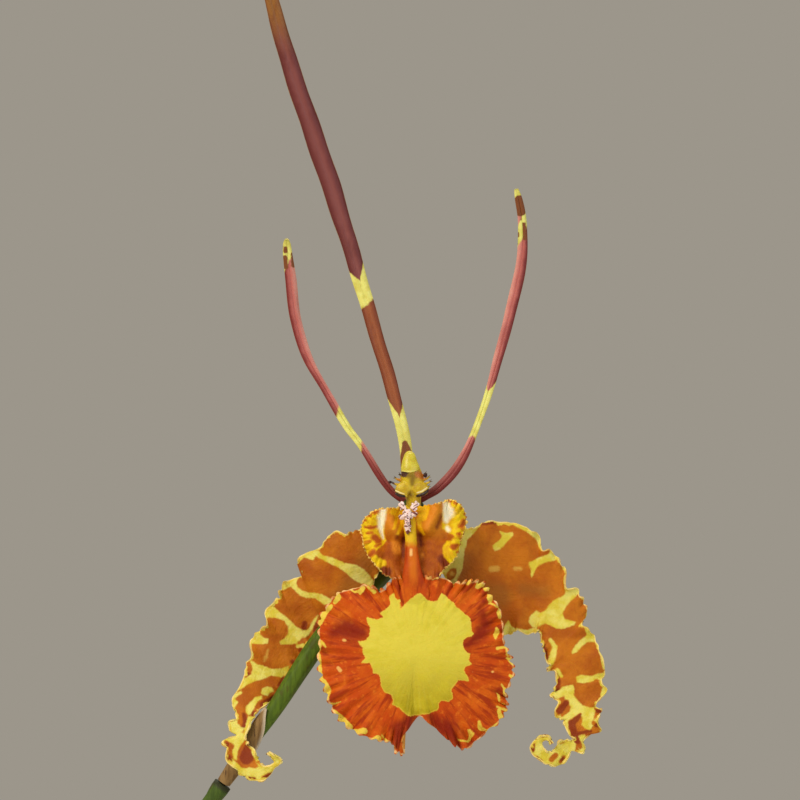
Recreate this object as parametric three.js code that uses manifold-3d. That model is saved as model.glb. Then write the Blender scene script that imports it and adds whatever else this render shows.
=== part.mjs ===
// A butterfly orchid in a clay pot: pot, bark, rhizome with roots, pseudobulbs with their leaves, and one
// tall flower stem that carries a single flower. Millimetres, +Z up, and the flower looks along -Y.
// The origin is the middle of the pot's foot.
import * as THREE from "three";
import { mergeVertices } from "three/addons/utils/BufferGeometryUtils.js";
import Module from "manifold-3d";

const wasm = await Module();
wasm.setup();

// Driving dimensions
const SEAT_GAP = 0.3; // left between pieces that touch
const POT = { height: 95, footRadius: 37, mouthRadius: 50, rimRadius: 54, rimHeight: 21, wall: 5, floor: 6 };
const DRAIN = { count: 4, radius: 4.5, circleRadius: 21 };
const BARK = { level: 79, chips: 18, seed: 7 };
const FLOWER_AT = new THREE.Vector3(190, -42, 540); // where sepals, petals, lip and column meet
const NODE_IN_FLOWER = [-38, 5.5, -56.2]; // where the flower's own stalk leaves the stem, from FLOWER_AT
const LEAF_THICKNESS = 1.6;
const TEPAL_THICKNESS = 0.75;
const BRACT_THICKNESS = 0.6;
const SHEATH_THICKNESS = 0.75;

// Small numeric helpers
const TAU = 2 * Math.PI;
const lerp = (a, b, k) => a + (b - a) * k;
const unit = (v) => v.clone().normalize();
const vec = (p) => new THREE.Vector3(p[0], p[1], p[2]);

function seededRandom(seed) {
  let state = seed;
  return () => {
    state = (state + 0x6d2b79f5) | 0;
    let t = Math.imul(state ^ (state >>> 15), 1 | state);
    t = (t + Math.imul(t ^ (t >>> 7), 61 | t)) ^ t;
    return ((t ^ (t >>> 14)) >>> 0) / 4294967296;
  };
}

// Catmull-Rom through rows of numbers; t counts rows, so t = 2 is the third row.
function rowAt(rows, t) {
  const i = Math.min(Math.max(Math.floor(t), 0), rows.length - 2);
  const f = t - i;
  const [p0, p1, p2, p3] = [rows[Math.max(i - 1, 0)], rows[i], rows[i + 1], rows[Math.min(i + 2, rows.length - 1)]];
  return p1.map((_, k) => {
    const m1 = (p2[k] - p0[k]) / 2;
    const m2 = (p3[k] - p1[k]) / 2;
    const [f2, f3] = [f * f, f * f * f];
    return (2 * f3 - 3 * f2 + 1) * p1[k] + (f3 - 2 * f2 + f) * m1 + (3 * f2 - 2 * f3) * p2[k] + (f3 - f2) * m2;
  });
}

// Rows at equal steps of length along the first three columns, each with its place `s` in millimetres.
function evenRows(rows, count) {
  const fine = 16 * (rows.length - 1);
  const dense = Array.from({ length: fine + 1 }, (_, i) => rowAt(rows, (i * (rows.length - 1)) / fine));
  const along = [0];
  for (let i = 1; i <= fine; i++) along.push(along[i - 1] + vec(dense[i]).distanceTo(vec(dense[i - 1])));
  const length = along[fine];
  const made = [];
  for (let n = 0, i = 0; n <= count; n++) {
    const s = (length * n) / count;
    while (i < fine - 1 && along[i + 1] < s) i++;
    const k = (s - along[i]) / (along[i + 1] - along[i]);
    made.push({ s, share: n / count, row: dense[i].map((a, c) => lerp(a, dense[i + 1][c], k)) });
  }
  return made;
}

// Solids and geometry
function solidOf(geometry) {
  const bare = new THREE.BufferGeometry().setAttribute("position", geometry.getAttribute("position").clone());
  if (geometry.index) bare.setIndex(geometry.index.clone());
  const merged = mergeVertices(bare, 1e-4);
  return new wasm.Manifold(
    new wasm.Mesh({
      numProp: 3,
      vertProperties: new Float32Array(merged.attributes.position.array),
      triVerts: new Uint32Array(merged.index.array),
    }),
  );
}

function solidFrom(points, triangles) {
  return new wasm.Manifold(
    new wasm.Mesh({
      numProp: 3,
      vertProperties: new Float32Array(points.flatMap((p) => [p.x, p.y, p.z])),
      triVerts: new Uint32Array(triangles.flat()),
    }),
  );
}

function meshData(solid) {
  const mesh = solid.getMesh();
  const points = [];
  for (let i = 0; i < mesh.numVert; i++) {
    points.push(new THREE.Vector3(...mesh.vertProperties.slice(i * mesh.numProp, i * mesh.numProp + 3)));
  }
  const triangles = [];
  for (let i = 0; i < mesh.triVerts.length; i += 3) triangles.push([...mesh.triVerts.slice(i, i + 3)]);
  return { points, triangles };
}

function vertexNormals(points, triangles) {
  const normals = points.map(() => new THREE.Vector3());
  for (const [a, b, c] of triangles) {
    const n = points[b].clone().sub(points[a]).cross(points[c].clone().sub(points[a]));
    for (const i of [a, b, c]) normals[i].add(n);
  }
  return normals.map((n) => n.normalize());
}

// The same solid with its surface moved out by `by`, to cut a neighbour clear of it.
function grown(solid, by = SEAT_GAP) {
  const { points, triangles } = meshData(solid);
  const normals = vertexNormals(points, triangles);
  return solidFrom(points.map((p, i) => p.clone().addScaledVector(normals[i], by)), triangles);
}

// What is left of a solid once its neighbours, each with the seat gap, are cut from it: its largest body.
function clearOf(solid, ...neighbours) {
  const cut = neighbours.reduce((left, other) => left.subtract(grown(other)), solid);
  return cut.decompose().reduce((a, b) => (a.volume() > b.volume() ? a : b));
}

// An open surface made into a closed sheet: both faces keep the same triangles, and the border is walled.
function thicken(points, triangles, thickness) {
  const normals = vertexNormals(points, triangles);
  const front = points.map((p, i) => p.clone().addScaledVector(normals[i], thickness / 2));
  const back = points.map((p, i) => p.clone().addScaledVector(normals[i], -thickness / 2));
  const n = points.length;
  const faces = [...triangles, ...triangles.map(([a, b, c]) => [c + n, b + n, a + n])];
  const edges = new Set(triangles.flatMap(([a, b, c]) => [`${a},${b}`, `${b},${c}`, `${c},${a}`]));
  for (const edge of edges) {
    const [a, b] = edge.split(",").map(Number);
    if (!edges.has(`${b},${a}`)) faces.push([b, a, a + n], [b, a + n, b + n]);
  }
  return solidFrom([...front, ...back], faces);
}

// A blade is a list of stations from its root to its tip. Each station is
// [x, y, z, faceX, faceY, faceZ, halfWidthLeft, halfWidthRight, roll], where face is the way its front
// looks, right is along (tangent x face), and roll is how far, in radians, each margin bends back.
function blade(stations, { steps, across, thickness, wave }) {
  const even = evenRows(stations, steps);
  const at = even.map(({ row }) => vec(row));
  const points = [];
  even.forEach(({ s, share, row }, i) => {
    const tangent = unit(at[Math.min(i + 1, steps)].clone().sub(at[Math.max(i - 1, 0)]));
    const right = unit(tangent.clone().cross(vec(row.slice(3, 6))));
    const face = right.clone().cross(tangent);
    const [left, wide, roll] = row.slice(6);
    for (let j = 0; j <= across; j++) {
      const v = (2 * j) / across - 1;
      const w = v < 0 ? left : wide;
      const turn = v * roll;
      const side = Math.abs(roll) < 1e-3 ? v * w : (w * Math.sin(turn)) / roll;
      const back = Math.abs(roll) < 1e-3 ? 0 : (w * (1 - Math.cos(turn))) / Math.abs(roll) * Math.sign(roll);
      const [lift, reach] = wave ? wave(s, share, v, w) : [0, 0];
      points.push(at[i].clone().addScaledVector(right, side + reach).addScaledVector(face, lift - back));
    }
  });
  return thicken(points, gridTriangles(steps, across), thickness);
}

// A frilled margin: the depth and the reach of the edge swing along the blade, more towards the margin.
const frill = ({ deep, wide, length, shift = 0, from = 0.12 }) => (s, share, v, w) => {
  const edge = Math.abs(v) ** 2.2 * Math.min(1, share / from) * Math.min(1, (1.02 - share) / 0.08);
  const phase = (TAU * s) / length + shift + (v > 0 ? 0 : 1.9);
  return [deep * edge * Math.sin(phase), wide * edge * Math.sign(v) * Math.cos(phase * 1.31) * Math.min(1, w / 3)];
};

// A broad blade is a list of rungs from its root to its tip: [outer x, outer y, inner x, inner y] in pixels of the
// flower's picture, then the depth of the rung's middle and how much further back its two ends lie, in millimetres.
const PICTURE = { middleX: 412, middleY: 505, scale: 0.2 }; // the pixel over FLOWER_AT, and millimetres to a pixel
function rungBlade(rungs, { across, thickness, wave }) {
  const points = [];
  let s = 0;
  let before = null;
  for (const [ox, oy, ix, iy, depth, outerBack, innerBack] of rungs) {
    const middle = new THREE.Vector2((ox + ix) / 2, (oy + iy) / 2).multiplyScalar(PICTURE.scale);
    if (before) s += middle.distanceTo(before);
    before = middle;
    for (let j = 0; j <= across; j++) {
      const v = (2 * j) / across - 1;
      const x = lerp(ox, ix, (v + 1) / 2) - PICTURE.middleX;
      const z = PICTURE.middleY - lerp(oy, iy, (v + 1) / 2);
      const back = (v < 0 ? outerBack : innerBack) * v * v;
      points.push(new THREE.Vector3(x * PICTURE.scale, depth + back + wave(s, v), z * PICTURE.scale));
    }
  }
  return thicken(points, gridTriangles(rungs.length - 1, across), thickness);
}

function gridTriangles(steps, across) {
  const triangles = [];
  for (let i = 0; i < steps; i++) {
    for (let j = 0; j < across; j++) {
      const a = i * (across + 1) + j;
      const [b, c, d] = [a + 1, a + across + 1, a + across + 2];
      triangles.push([a, b, d], [a, d, c]);
    }
  }
  return triangles;
}

// A stalk is a list of stations [x, y, z, radiusWide, radiusThin]; its wide way is across `flat`.
function stalk(stations, { steps, sides, flat = [0, 1, 0] }) {
  const even = evenRows(stations, steps);
  const at = even.map(({ row }) => vec(row));
  const points = [];
  even.forEach(({ row }, i) => {
    const tangent = unit(at[Math.min(i + 1, steps)].clone().sub(at[Math.max(i - 1, 0)]));
    const wideWay = unit(vec(flat).cross(tangent));
    const thinWay = tangent.clone().cross(wideWay);
    for (let j = 0; j < sides; j++) {
      const a = (TAU * j) / sides;
      points.push(
        at[i].clone().addScaledVector(wideWay, row[3] * Math.cos(a)).addScaledVector(thinWay, row[4] * Math.sin(a)),
      );
    }
  });
  const triangles = [];
  for (let i = 0; i < steps; i++) {
    for (let j = 0; j < sides; j++) {
      const a = i * sides + j;
      const b = i * sides + ((j + 1) % sides);
      triangles.push([a, b, b + sides], [a, b + sides, a + sides]);
    }
  }
  for (let j = 1; j < sides - 1; j++) {
    const end = steps * sides;
    triangles.push([0, j + 1, j], [end, end + j, end + j + 1]);
  }
  return solidFrom(points, triangles);
}

// A lobe spreads from a centre to an outline of [x, z] points; `depth` gives y from the place and the share out.
function lobe(centre, outline, { rings, sectors, thickness, depth }) {
  const closed = [...outline, outline[0]];
  const n = outline.length;
  const edge = Array.from({ length: sectors }, (_, j) => {
    const t = (n * j) / sectors;
    const i = Math.floor(t);
    const window = [outline[(i + n - 1) % n], closed[i], closed[i + 1], outline[(i + 2) % n]];
    return rowAt(window, 1 + t - i);
  });
  const points = [new THREE.Vector3(centre[0], depth(centre[0], centre[1], 0, 0), centre[1])];
  for (const out of rings) {
    edge.forEach(([ex, ez], j) => {
      const x = lerp(centre[0], ex, out);
      const z = lerp(centre[1], ez, out);
      points.push(new THREE.Vector3(x, depth(x, z, out, j / sectors), z));
    });
  }
  const triangles = [];
  for (let j = 0; j < sectors; j++) {
    const k = (j + 1) % sectors;
    triangles.push([0, 1 + k, 1 + j]);
    for (let r = 1; r < rings.length; r++) {
      const [a, b] = [1 + (r - 1) * sectors + j, 1 + (r - 1) * sectors + k];
      triangles.push([a, b, b + sectors], [a, b + sectors, a + sectors]);
    }
  }
  const area = THREE.ShapeUtils.area(edge.map(([x, z]) => new THREE.Vector2(x, z)));
  return thicken(points, area > 0 ? triangles.map(([a, b, c]) => [c, b, a]) : triangles, thickness);
}

function ellipsoid(at, radii, turn = [0, 0, 0], detail = [14, 9]) {
  const geometry = new THREE.SphereGeometry(1, ...detail);
  const matrix = new THREE.Matrix4().compose(
    vec(at),
    new THREE.Quaternion().setFromEuler(new THREE.Euler(...turn)),
    vec(radii),
  );
  return solidOf(geometry.applyMatrix4(matrix));
}

const union = (solids) => wasm.Manifold.union(solids);

// Materials
const paint = (color, roughness = 0.6) => new THREE.MeshStandardMaterial({ color, roughness, metalness: 0 });
const CLAY = paint(0xb4653f, 0.85);
const BARK_BROWN = paint(0x5b3a26, 0.95);
const ROOT_PALE = paint(0xb9b79a, 0.8);
const BULB_GREEN = paint(0x4d5a2c, 0.5);
const LEAF_GREEN = paint(0x45582f, 0.45);
const STEM_GREEN = paint(0x3f6a20, 0.45);
const DRY_SHEATH = paint(0x9a7a55, 0.85);
const SEPAL_RED = paint(0x8c4038, 0.5);
const TEPAL_ORANGE = paint(0xc06418, 0.5);
const LIP_ORANGE = paint(0xc9a02c, 0.5);
const CALLUS_PINK = paint(0xe8c0b4, 0.45);
const COLUMN_YELLOW = paint(0xc9a410, 0.5);
const CAP_YELLOW = paint(0xe2d24a, 0.45);

const plant = new THREE.Group();
const flower = new THREE.Group();
flower.position.copy(FLOWER_AT);
plant.add(flower);

function place(group, name, solid, material) {
  const { points, triangles } = meshData(solid);
  const geometry = new THREE.BufferGeometry();
  geometry.setAttribute("position", new THREE.Float32BufferAttribute(points.flatMap((p) => [p.x, p.y, p.z]), 3));
  geometry.setIndex(triangles.flat());
  geometry.computeVertexNormals();
  const mesh = new THREE.Mesh(geometry, material);
  mesh.name = name;
  group.add(mesh);
  return solid;
}

// Pot: a clay cup with a thick rim and drain holes round the middle of its floor
const mouthWall = (z) => lerp(POT.footRadius, POT.mouthRadius, z / POT.height) - POT.wall;

function makePot() {
  const rimFoot = POT.height - POT.rimHeight;
  const outerAt = (z) => mouthWall(z) + POT.wall;
  const profile = [
    [0, 0], [POT.footRadius - 1.5, 0], [POT.footRadius, 1.5], [outerAt(rimFoot), rimFoot],
    [POT.rimRadius - 1.2, rimFoot + 0.6], [POT.rimRadius - 0.4, rimFoot + 2], [POT.rimRadius, POT.height - 2],
    [POT.rimRadius - 1.5, POT.height], [mouthWall(POT.height) + 1, POT.height], [mouthWall(POT.height), POT.height - 1.5],
    [mouthWall(POT.floor), POT.floor], [0, POT.floor],
  ];
  let solid = solidOf(new THREE.LatheGeometry(profile.map((p) => new THREE.Vector2(...p)), 36).rotateX(Math.PI / 2));
  if (solid.volume() < 0) throw new Error("the pot's profile runs the wrong way");
  for (let i = 0; i < DRAIN.count; i++) {
    const a = (TAU * (i + 0.5)) / DRAIN.count;
    const drill = new THREE.CylinderGeometry(DRAIN.radius, DRAIN.radius, 4 * POT.floor, 10).rotateX(Math.PI / 2);
    drill.translate(DRAIN.circleRadius * Math.cos(a), DRAIN.circleRadius * Math.sin(a), 0);
    solid = solid.subtract(solidOf(drill));
  }
  return solid;
}
place(plant, "pot", makePot(), CLAY);

// Pseudobulbs stand in a row along a short rhizome; each is flattened along the row and ends in one leaf
const ROW_ANGLE = -0.42; // the row's heading in the ground plane
const BULBS = [
  { at: [-27, 13], height: 36, width: 27, thick: 14, lean: -0.14 },
  { at: [-11, 5], height: 40, width: 30, thick: 15, lean: -0.05 },
  { at: [6, -2], height: 42, width: 31, thick: 15.5, lean: 0.04 },
  { at: [22, -9], height: 39, width: 29, thick: 15.5, lean: 0.12 },
];
const BULB_FOOT = 81;

// A point of a pseudobulb: up 0 to 1 from foot to crown, round in radians, grown outwards by `by`.
function bulbPoint(bulb, up, round, by = 0) {
  const belly = Math.sin(Math.PI * (0.1 + 0.86 * up ** 0.85)) ** 0.72;
  const ridges = 1 + 0.05 * Math.cos(round * 6) * Math.sin(Math.PI * up);
  const across = (bulb.width / 2) * belly * ridges + by;
  const deep = (bulb.thick / 2) * belly * ridges + by;
  const z = up * bulb.height;
  const [x, y] = [deep * Math.cos(round) + bulb.lean * z, across * Math.sin(round)];
  const [c, s] = [Math.cos(ROW_ANGLE), Math.sin(ROW_ANGLE)];
  return new THREE.Vector3(bulb.at[0] + c * x - s * y, bulb.at[1] + s * x + c * y, BULB_FOOT + z + by * (2 * up - 1));
}

function ringSolid(rings, sides, pointAt) {
  const points = [];
  for (let i = 0; i <= rings; i++) for (let j = 0; j < sides; j++) points.push(pointAt(i / rings, (TAU * j) / sides));
  const triangles = [];
  for (let i = 0; i < rings; i++) {
    for (let j = 0; j < sides; j++) {
      const a = i * sides + j;
      const b = i * sides + ((j + 1) % sides);
      triangles.push([a, b, b + sides], [a, b + sides, a + sides]);
    }
  }
  for (let j = 1; j < sides - 1; j++) {
    const end = rings * sides;
    triangles.push([0, j + 1, j], [end, end + j, end + j + 1]);
  }
  return solidFrom(points, triangles);
}
const bulbSolid = (bulb, by = 0, rings = 7, sides = 12) =>
  ringSolid(rings, sides, (up, round) => bulbPoint(bulb, up, round, by));

// Rhizome and roots, one grown piece: the rhizome lies under the row, the roots run out over the bark
const RHIZOME = [[-33, 15.6, 80, 3, 3], [-27, 13, 80.6, 4, 4], [-11, 5, 80.8, 4.2, 4.2], [6, -2, 80.8, 4.2, 4.2],
  [22, -9, 80.6, 4, 4], [30, -12.4, 80, 3, 3]];
const ROOTS = [
  [[-24, 11, 80, 1.5], [-20, -2, 85.5, 1.5], [-18, -14, 87, 1.4], [-20, -24, 85.5, 1.4], [-23, -30, 78, 1.1]],
  [[3, -1, 80, 1.6], [-2, -14, 86, 1.5], [-1, -25, 87.3, 1.5], [5, -32, 85, 1.3], [8, -36, 78, 1.1]],
  [[-12, 6, 80, 1.5], [-6, 17, 86, 1.5], [-9, 28, 86.5, 1.4], [-14, 33, 83, 1.2], [-17, 34, 77, 1.0]],
  [[18, -7, 80, 1.5], [21, 6, 86, 1.5], [26, 17, 86.5, 1.4], [24, 26, 84, 1.3], [20, 31, 77, 1.0]],
  [[-30, 14, 80, 1.4], [-36, 6, 84.5, 1.3], [-38, -4, 85, 1.3], [-35, -12, 78, 1.0]],
  [[26, -11, 80, 1.4], [22, -22, 85.5, 1.4], [21, -28, 85, 1.3], [24, -31, 77, 1.0]],
];
const rootSolid = (root) => stalk(root.map((p) => [...p, p[3]]), { steps: 7, sides: 5, flat: [0.6, 0.8, 0.05] });
const rhizome = place(
  plant,
  "rhizome_and_roots",
  union([stalk(RHIZOME, { steps: 8, sides: 8 }), ...ROOTS.map(rootSolid)]),
  ROOT_PALE,
);

const bulbs = BULBS.map((bulb, i) =>
  place(plant, `pseudobulb_${i + 1}`, clearOf(bulbSolid(bulb), rhizome), BULB_GREEN),
);

// Dry sheaths: a papery shell round the outer side of each pseudobulb's foot, torn to a point
function sheathSolid(bulb) {
  const shell = bulbSolid(bulb, SEAT_GAP + SHEATH_THICKNESS).subtract(bulbSolid(bulb, SEAT_GAP));
  const [c, s] = [Math.cos(ROW_ANGLE), Math.sin(ROW_ANGLE)];
  const outline = new THREE.Shape([[-13, 4.5], [13, 4.5], [12, 11], [5, 15], [1, 23], [-3, 16], [-11, 10]].map(
    (p) => new THREE.Vector2(...p),
  ));
  const stencil = new THREE.ExtrudeGeometry(outline, { depth: 30, bevelEnabled: false });
  stencil.rotateX(Math.PI / 2).rotateZ(ROW_ANGLE + Math.PI / 2 + 0.5);
  stencil.translate(bulb.at[0] - 4 * c, bulb.at[1] - 4 * s, BULB_FOOT);
  return shell.intersect(solidOf(stencil)).decompose().reduce((a, b) => (a.volume() > b.volume() ? a : b));
}

// Leaves: one from each pseudobulb's crown, stiff, folded at the foot and flat above
const crown = (bulb) => bulbPoint(bulb, 1, 0).add(bulbPoint(bulb, 1, Math.PI)).multiplyScalar(0.5);
const LEAVES = [
  { lean: [-0.98, 0.2], reach: 92, rise: 104, half: 22, arch: 20 },
  { lean: [-0.5, 0.86], reach: 62, rise: 138, half: 26, arch: 14 },
  { lean: [-0.36, -0.93], reach: 66, rise: 132, half: 27, arch: 18 },
  { lean: [0.32, 0.95], reach: 58, rise: 142, half: 25, arch: 14 },
];
const LEAF_SHAPE = [[0, 0.1, 1.15], [0.06, 0.13, 1.1], [0.16, 0.34, 0.7], [0.3, 0.72, 0.42], [0.46, 0.97, 0.3],
  [0.6, 1, 0.26], [0.74, 0.88, 0.24], [0.87, 0.58, 0.22], [0.95, 0.3, 0.2], [1, 0.05, 0.15]];

function leafStations(bulb, leaf) {
  const foot = crown(bulb).add(new THREE.Vector3(0, 0, SEAT_GAP - 3));
  const out = unit(new THREE.Vector3(leaf.lean[0], leaf.lean[1], 0));
  const place = (k) =>
    foot.clone().addScaledVector(out, leaf.reach * (0.62 * k + 0.38 * k * k)).add(
      new THREE.Vector3(0, 0, leaf.rise * k - leaf.arch * k * k * k),
    );
  return LEAF_SHAPE.map(([k, width, fold]) => {
    const tangent = unit(place(k + 0.01).sub(place(Math.max(k - 0.01, 0))));
    const face = unit(new THREE.Vector3(0, 0, 1).addScaledVector(tangent, -tangent.z));
    const p = place(k);
    return [p.x, p.y, p.z, face.x, face.y, face.z, leaf.half * width, leaf.half * width, -fold];
  });
}
const leafWave = frill({ deep: 1.3, wide: 0.8, length: 58, from: 0.3 });

BULBS.forEach((bulb, i) => {
  const leaf = blade(leafStations(bulb, LEAVES[i]), { steps: 13, across: 6, thickness: LEAF_THICKNESS, wave: leafWave });
  place(plant, `leaf_${i + 1}`, clearOf(leaf, bulbs[i]), LEAF_GREEN);
});

// Flower stem: rises from the foot of the youngest pseudobulb and arches to the flower's node
const NODE = vec(NODE_IN_FLOWER).add(FLOWER_AT);
const STEM = [
  [36, -13, 78, 2.3, 2.1], [36.6, -13, 110, 2.25, 2.0], [39.5, -14, 160, 2.1, 1.85], [47, -16, 225, 2.0, 1.75],
  [60, -19.5, 290, 1.9, 1.65], [80, -24, 355, 1.8, 1.5], [108, -29, 415, 1.7, 1.4], [133, -33, 456.5, 1.6, 1.35],
  [NODE.x, NODE.y, NODE.z, 1.55, 1.4],
];
const STEM_NODES = [0.24, 0.5, 0.76]; // shares of its length that carry a ring and a small dry bract
const stemRows = evenRows(STEM, 100);
const stemAt = (share) => vec(stemRows[Math.round(share * 100)].row);
const stemWay = (share) => unit(stemAt(Math.min(share + 0.01, 1)).sub(stemAt(share - 0.01)));

function collar(at, way, radius) {
  const ring = new THREE.CylinderGeometry(radius, radius * 0.92, 1.4, 8);
  ring.applyQuaternion(new THREE.Quaternion().setFromUnitVectors(new THREE.Vector3(0, 1, 0), way));
  return solidOf(ring.translate(at.x, at.y, at.z));
}
const topCollarAt = NODE.clone().addScaledVector(stemWay(1), -1.2);
const stem = place(
  plant,
  "flower_stem",
  union([
    stalk(STEM, { steps: 24, sides: 8, flat: [0.25, 1, 0] }),
    ...STEM_NODES.map((share) => collar(stemAt(share), stemWay(share), 2.55)),
    collar(topCollarAt, stemWay(1), 1.75),
  ]),
  STEM_GREEN,
);

// Small bracts: a dry pointed scale hugs the stem above each ring
function stemBract(share, side) {
  const foot = stemAt(share).addScaledVector(stemWay(share), 0.9);
  const way = stemWay(share);
  const out = unit(new THREE.Vector3(side, -0.55, 0).addScaledVector(way, -way.x * side));
  const rows = [[0, 2.6, 1.0], [0.3, 2.7, 1.05], [0.6, 2.1, 0.9], [0.85, 1.1, 0.6], [1, 0.3, 0.3]].map(
    ([k, half, roll]) => {
      const p = foot.clone().addScaledVector(way, 14 * k).addScaledVector(out, 2.75 + 0.8 * k * k);
      return [p.x, p.y, p.z, out.x, out.y, out.z, half, half, roll];
    },
  );
  return clearOf(blade(rows, { steps: 6, across: 4, thickness: BRACT_THICKNESS }), stem);
}
STEM_NODES.forEach((share, i) =>
  place(plant, `stem_bract_${i + 1}`, stemBract(share, i % 2 ? 1 : -1), DRY_SHEATH),
);

// Bark: a plug that fills the pot, with chips on top
function makeBark() {
  const random = seededRandom(BARK.seed);
  const fill = POT.floor + SEAT_GAP;
  const profile = [[0, fill], [mouthWall(fill) - SEAT_GAP, fill], [mouthWall(BARK.level) - SEAT_GAP, BARK.level], [0, BARK.level]];
  const solids = [solidOf(new THREE.LatheGeometry(profile.map((p) => new THREE.Vector2(...p)), 24).rotateX(Math.PI / 2))];
  const limit = mouthWall(BARK.level) - 1;
  for (let i = 0; i < BARK.chips; i++) {
    const size = [lerp(11, 20, random()), lerp(8, 12, random()), lerp(5, 7, random())];
    const out = (limit - 3) * Math.sqrt((i + 0.5) / BARK.chips);
    const round = i * 2.399963 + 0.4 * random();
    const chip = new THREE.BoxGeometry(...size).toNonIndexed();
    const pinch = lerp(0.6, 0.85, random());
    const place = chip.getAttribute("position");
    for (let k = 0; k < place.count; k++) if (place.getZ(k) > 0) place.setXYZ(k, place.getX(k) * pinch, place.getY(k) * pinch, place.getZ(k));
    chip.rotateY(lerp(-0.3, 0.3, random())).rotateX(lerp(-0.3, 0.3, random())).rotateZ(TAU * random());
    chip.translate(out * Math.cos(round), out * Math.sin(round), BARK.level + lerp(0.2, 2.6, random()));
    solids.push(solidOf(chip));
  }
  const keep = new THREE.CylinderGeometry(limit, limit, 60, 24).rotateX(Math.PI / 2).translate(0, 0, BARK.level);
  return union(solids.slice(1)).intersect(solidOf(keep)).add(solids[0]);
}
place(plant, "potting_bark", clearOf(makeBark(), rhizome, stem, ...BULBS.map((bulb) => bulbSolid(bulb, 1.6, 4, 8))), BARK_BROWN);
const sheaths = [];
BULBS.forEach((bulb, i) => {
  const others = BULBS.filter((other) => other !== bulb).map((other) => bulbSolid(other));
  const sheath = clearOf(sheathSolid(bulb), rhizome, stem, ...others, ...sheaths);
  sheaths.push(place(plant, `bulb_sheath_${i + 1}`, sheath, DRY_SHEATH));
});

// The flower, in its own frame: x to the right and z up as one looks at it, y into the picture

// Stalk and ovary: thicker than the stem, with the round seat on its end that everything grows from
const SEAT = { at: [0, 2.7, -0.7], radii: [2.5, 2.3, 2.2] };
const OVARY = [
  [...NODE_IN_FLOWER, 0.65, 0.65], [-32.6, 4.5, -48.3, 1.15, 1.1], [-27.6, 4, -41.1, 1.6, 1.5],
  [-22.5, 4.2, -33.2, 1.8, 1.75], [-18.5, 5.2, -27.4, 1.9, 1.8], [-13.4, 7.9, -21.4, 1.95, 1.8],
  [-8, 7.8, -16.2, 1.9, 1.8], [-4, 7.5, -11.4, 1.9, 1.8], [-1.4, 6.2, -6, 2.0, 1.9], [0, 3.4, -1, 2.1, 2.0],
];
const ovaryFoot = vec(NODE_IN_FLOWER);
const ovaryBody = union([stalk(OVARY, { steps: 19, sides: 8, flat: [0, 1, 0] }), ellipsoid(SEAT.at, SEAT.radii, [0, 0, 0], [12, 8])]);
const ovary = place(flower, "flower_stalk_and_ovary", clearOf(ovaryBody, stem.translate([-FLOWER_AT.x, -FLOWER_AT.y, -FLOWER_AT.z])), STEM_GREEN);

// Floral bract: a dry sheath that wraps the foot of the stalk
const BRACT = [[0.0, 3.15, 2.45], [0.25, 3.75, 2.4], [0.5, 3.5, 1.95], [0.75, 2.55, 1.28], [0.92, 1.0, 0.7], [1, 0.3, 0.3]];
const BRACT_START = 0.4;
const BRACT_LENGTH = 17.5;
function floralBract() {
  const rows = evenRows(OVARY, 60);
  const length = rows[60].s;
  const stations = BRACT.map(([k, half, roll]) => {
    const i = Math.round((60 * (BRACT_START + BRACT_LENGTH * k)) / length);
    const [p, q] = [vec(rows[i].row), vec(rows[i + 1].row)];
    const way = unit(q.sub(p));
    const out = unit(new THREE.Vector3(-0.65, -0.7, 0.4));
    p.addScaledVector(out, rows[i].row[3] + 0.66);
    return [p.x, p.y, p.z, out.x, out.y, out.z, half, half, roll];
  });
  return blade(stations, { steps: 8, across: 8, thickness: BRACT_THICKNESS });
}
const stemHere = stem.translate([-FLOWER_AT.x, -FLOWER_AT.y, -FLOWER_AT.z]);
const bract = place(flower, "floral_bract", clearOf(floralBract(), ovary, stemHere), DRY_SHEATH);

// Column: neck, two broad wings with fringed margins, and the head that carries the anther cap
const COLUMN_BODY = [
  [0.3, -0.6, -0.8, 1.5, 1.3], [0.3, -0.9, 1.2, 1.5, 1.3], [0.1, -1.3, 3.2, 2.1, 1.5], [0, -1.6, 5.0, 2.4, 1.6],
  [-0.1, -1.8, 6.6, 2.0, 1.6], [-0.3, -1.9, 8.2, 1.4, 1.3], [-0.5, -1.9, 9.4, 0.8, 0.8],
];
// Fringe teeth: [foot x, foot z, tip x, tip z] in the flower's face, on the right and on the left margin
const FRINGE = [
  [2.1, 2.9, 3.6, 3.9], [2.2, 3.9, 3.9, 4.9], [2.2, 4.8, 3.6, 5.8], [1.9, 5.6, 2.9, 6.5],
  [-2.1, 2.9, -3.6, 3.0], [-2.2, 3.8, -4.3, 4.6], [-2.2, 4.7, -3.6, 5.6], [-1.9, 5.6, -2.6, 6.3],
];
function tooth(x0, z0, x1, z1) {
  return stalk([[x0 * 0.6, -1.6, z0, 0.55, 0.5], [(x0 + x1) / 2, -2.1, (z0 + z1) / 2, 0.35, 0.32], [x1, -2.5, z1, 0.3, 0.3]],
    { steps: 1, sides: 4, flat: [0, 1, 0.1] });
}
const columnBody = union([
  stalk(COLUMN_BODY, { steps: 7, sides: 8, flat: [0, 1, 0] }),
  ellipsoid([1.4, -2.2, 3.2], [1.7, 0.8, 1.5], [0, 0.5, 0], [8, 6]),
  ellipsoid([-1.4, -2.2, 3.2], [1.7, 0.8, 1.5], [0, -0.5, 0], [8, 6]),
  ...FRINGE.map((t) => tooth(...t)),
]);

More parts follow.
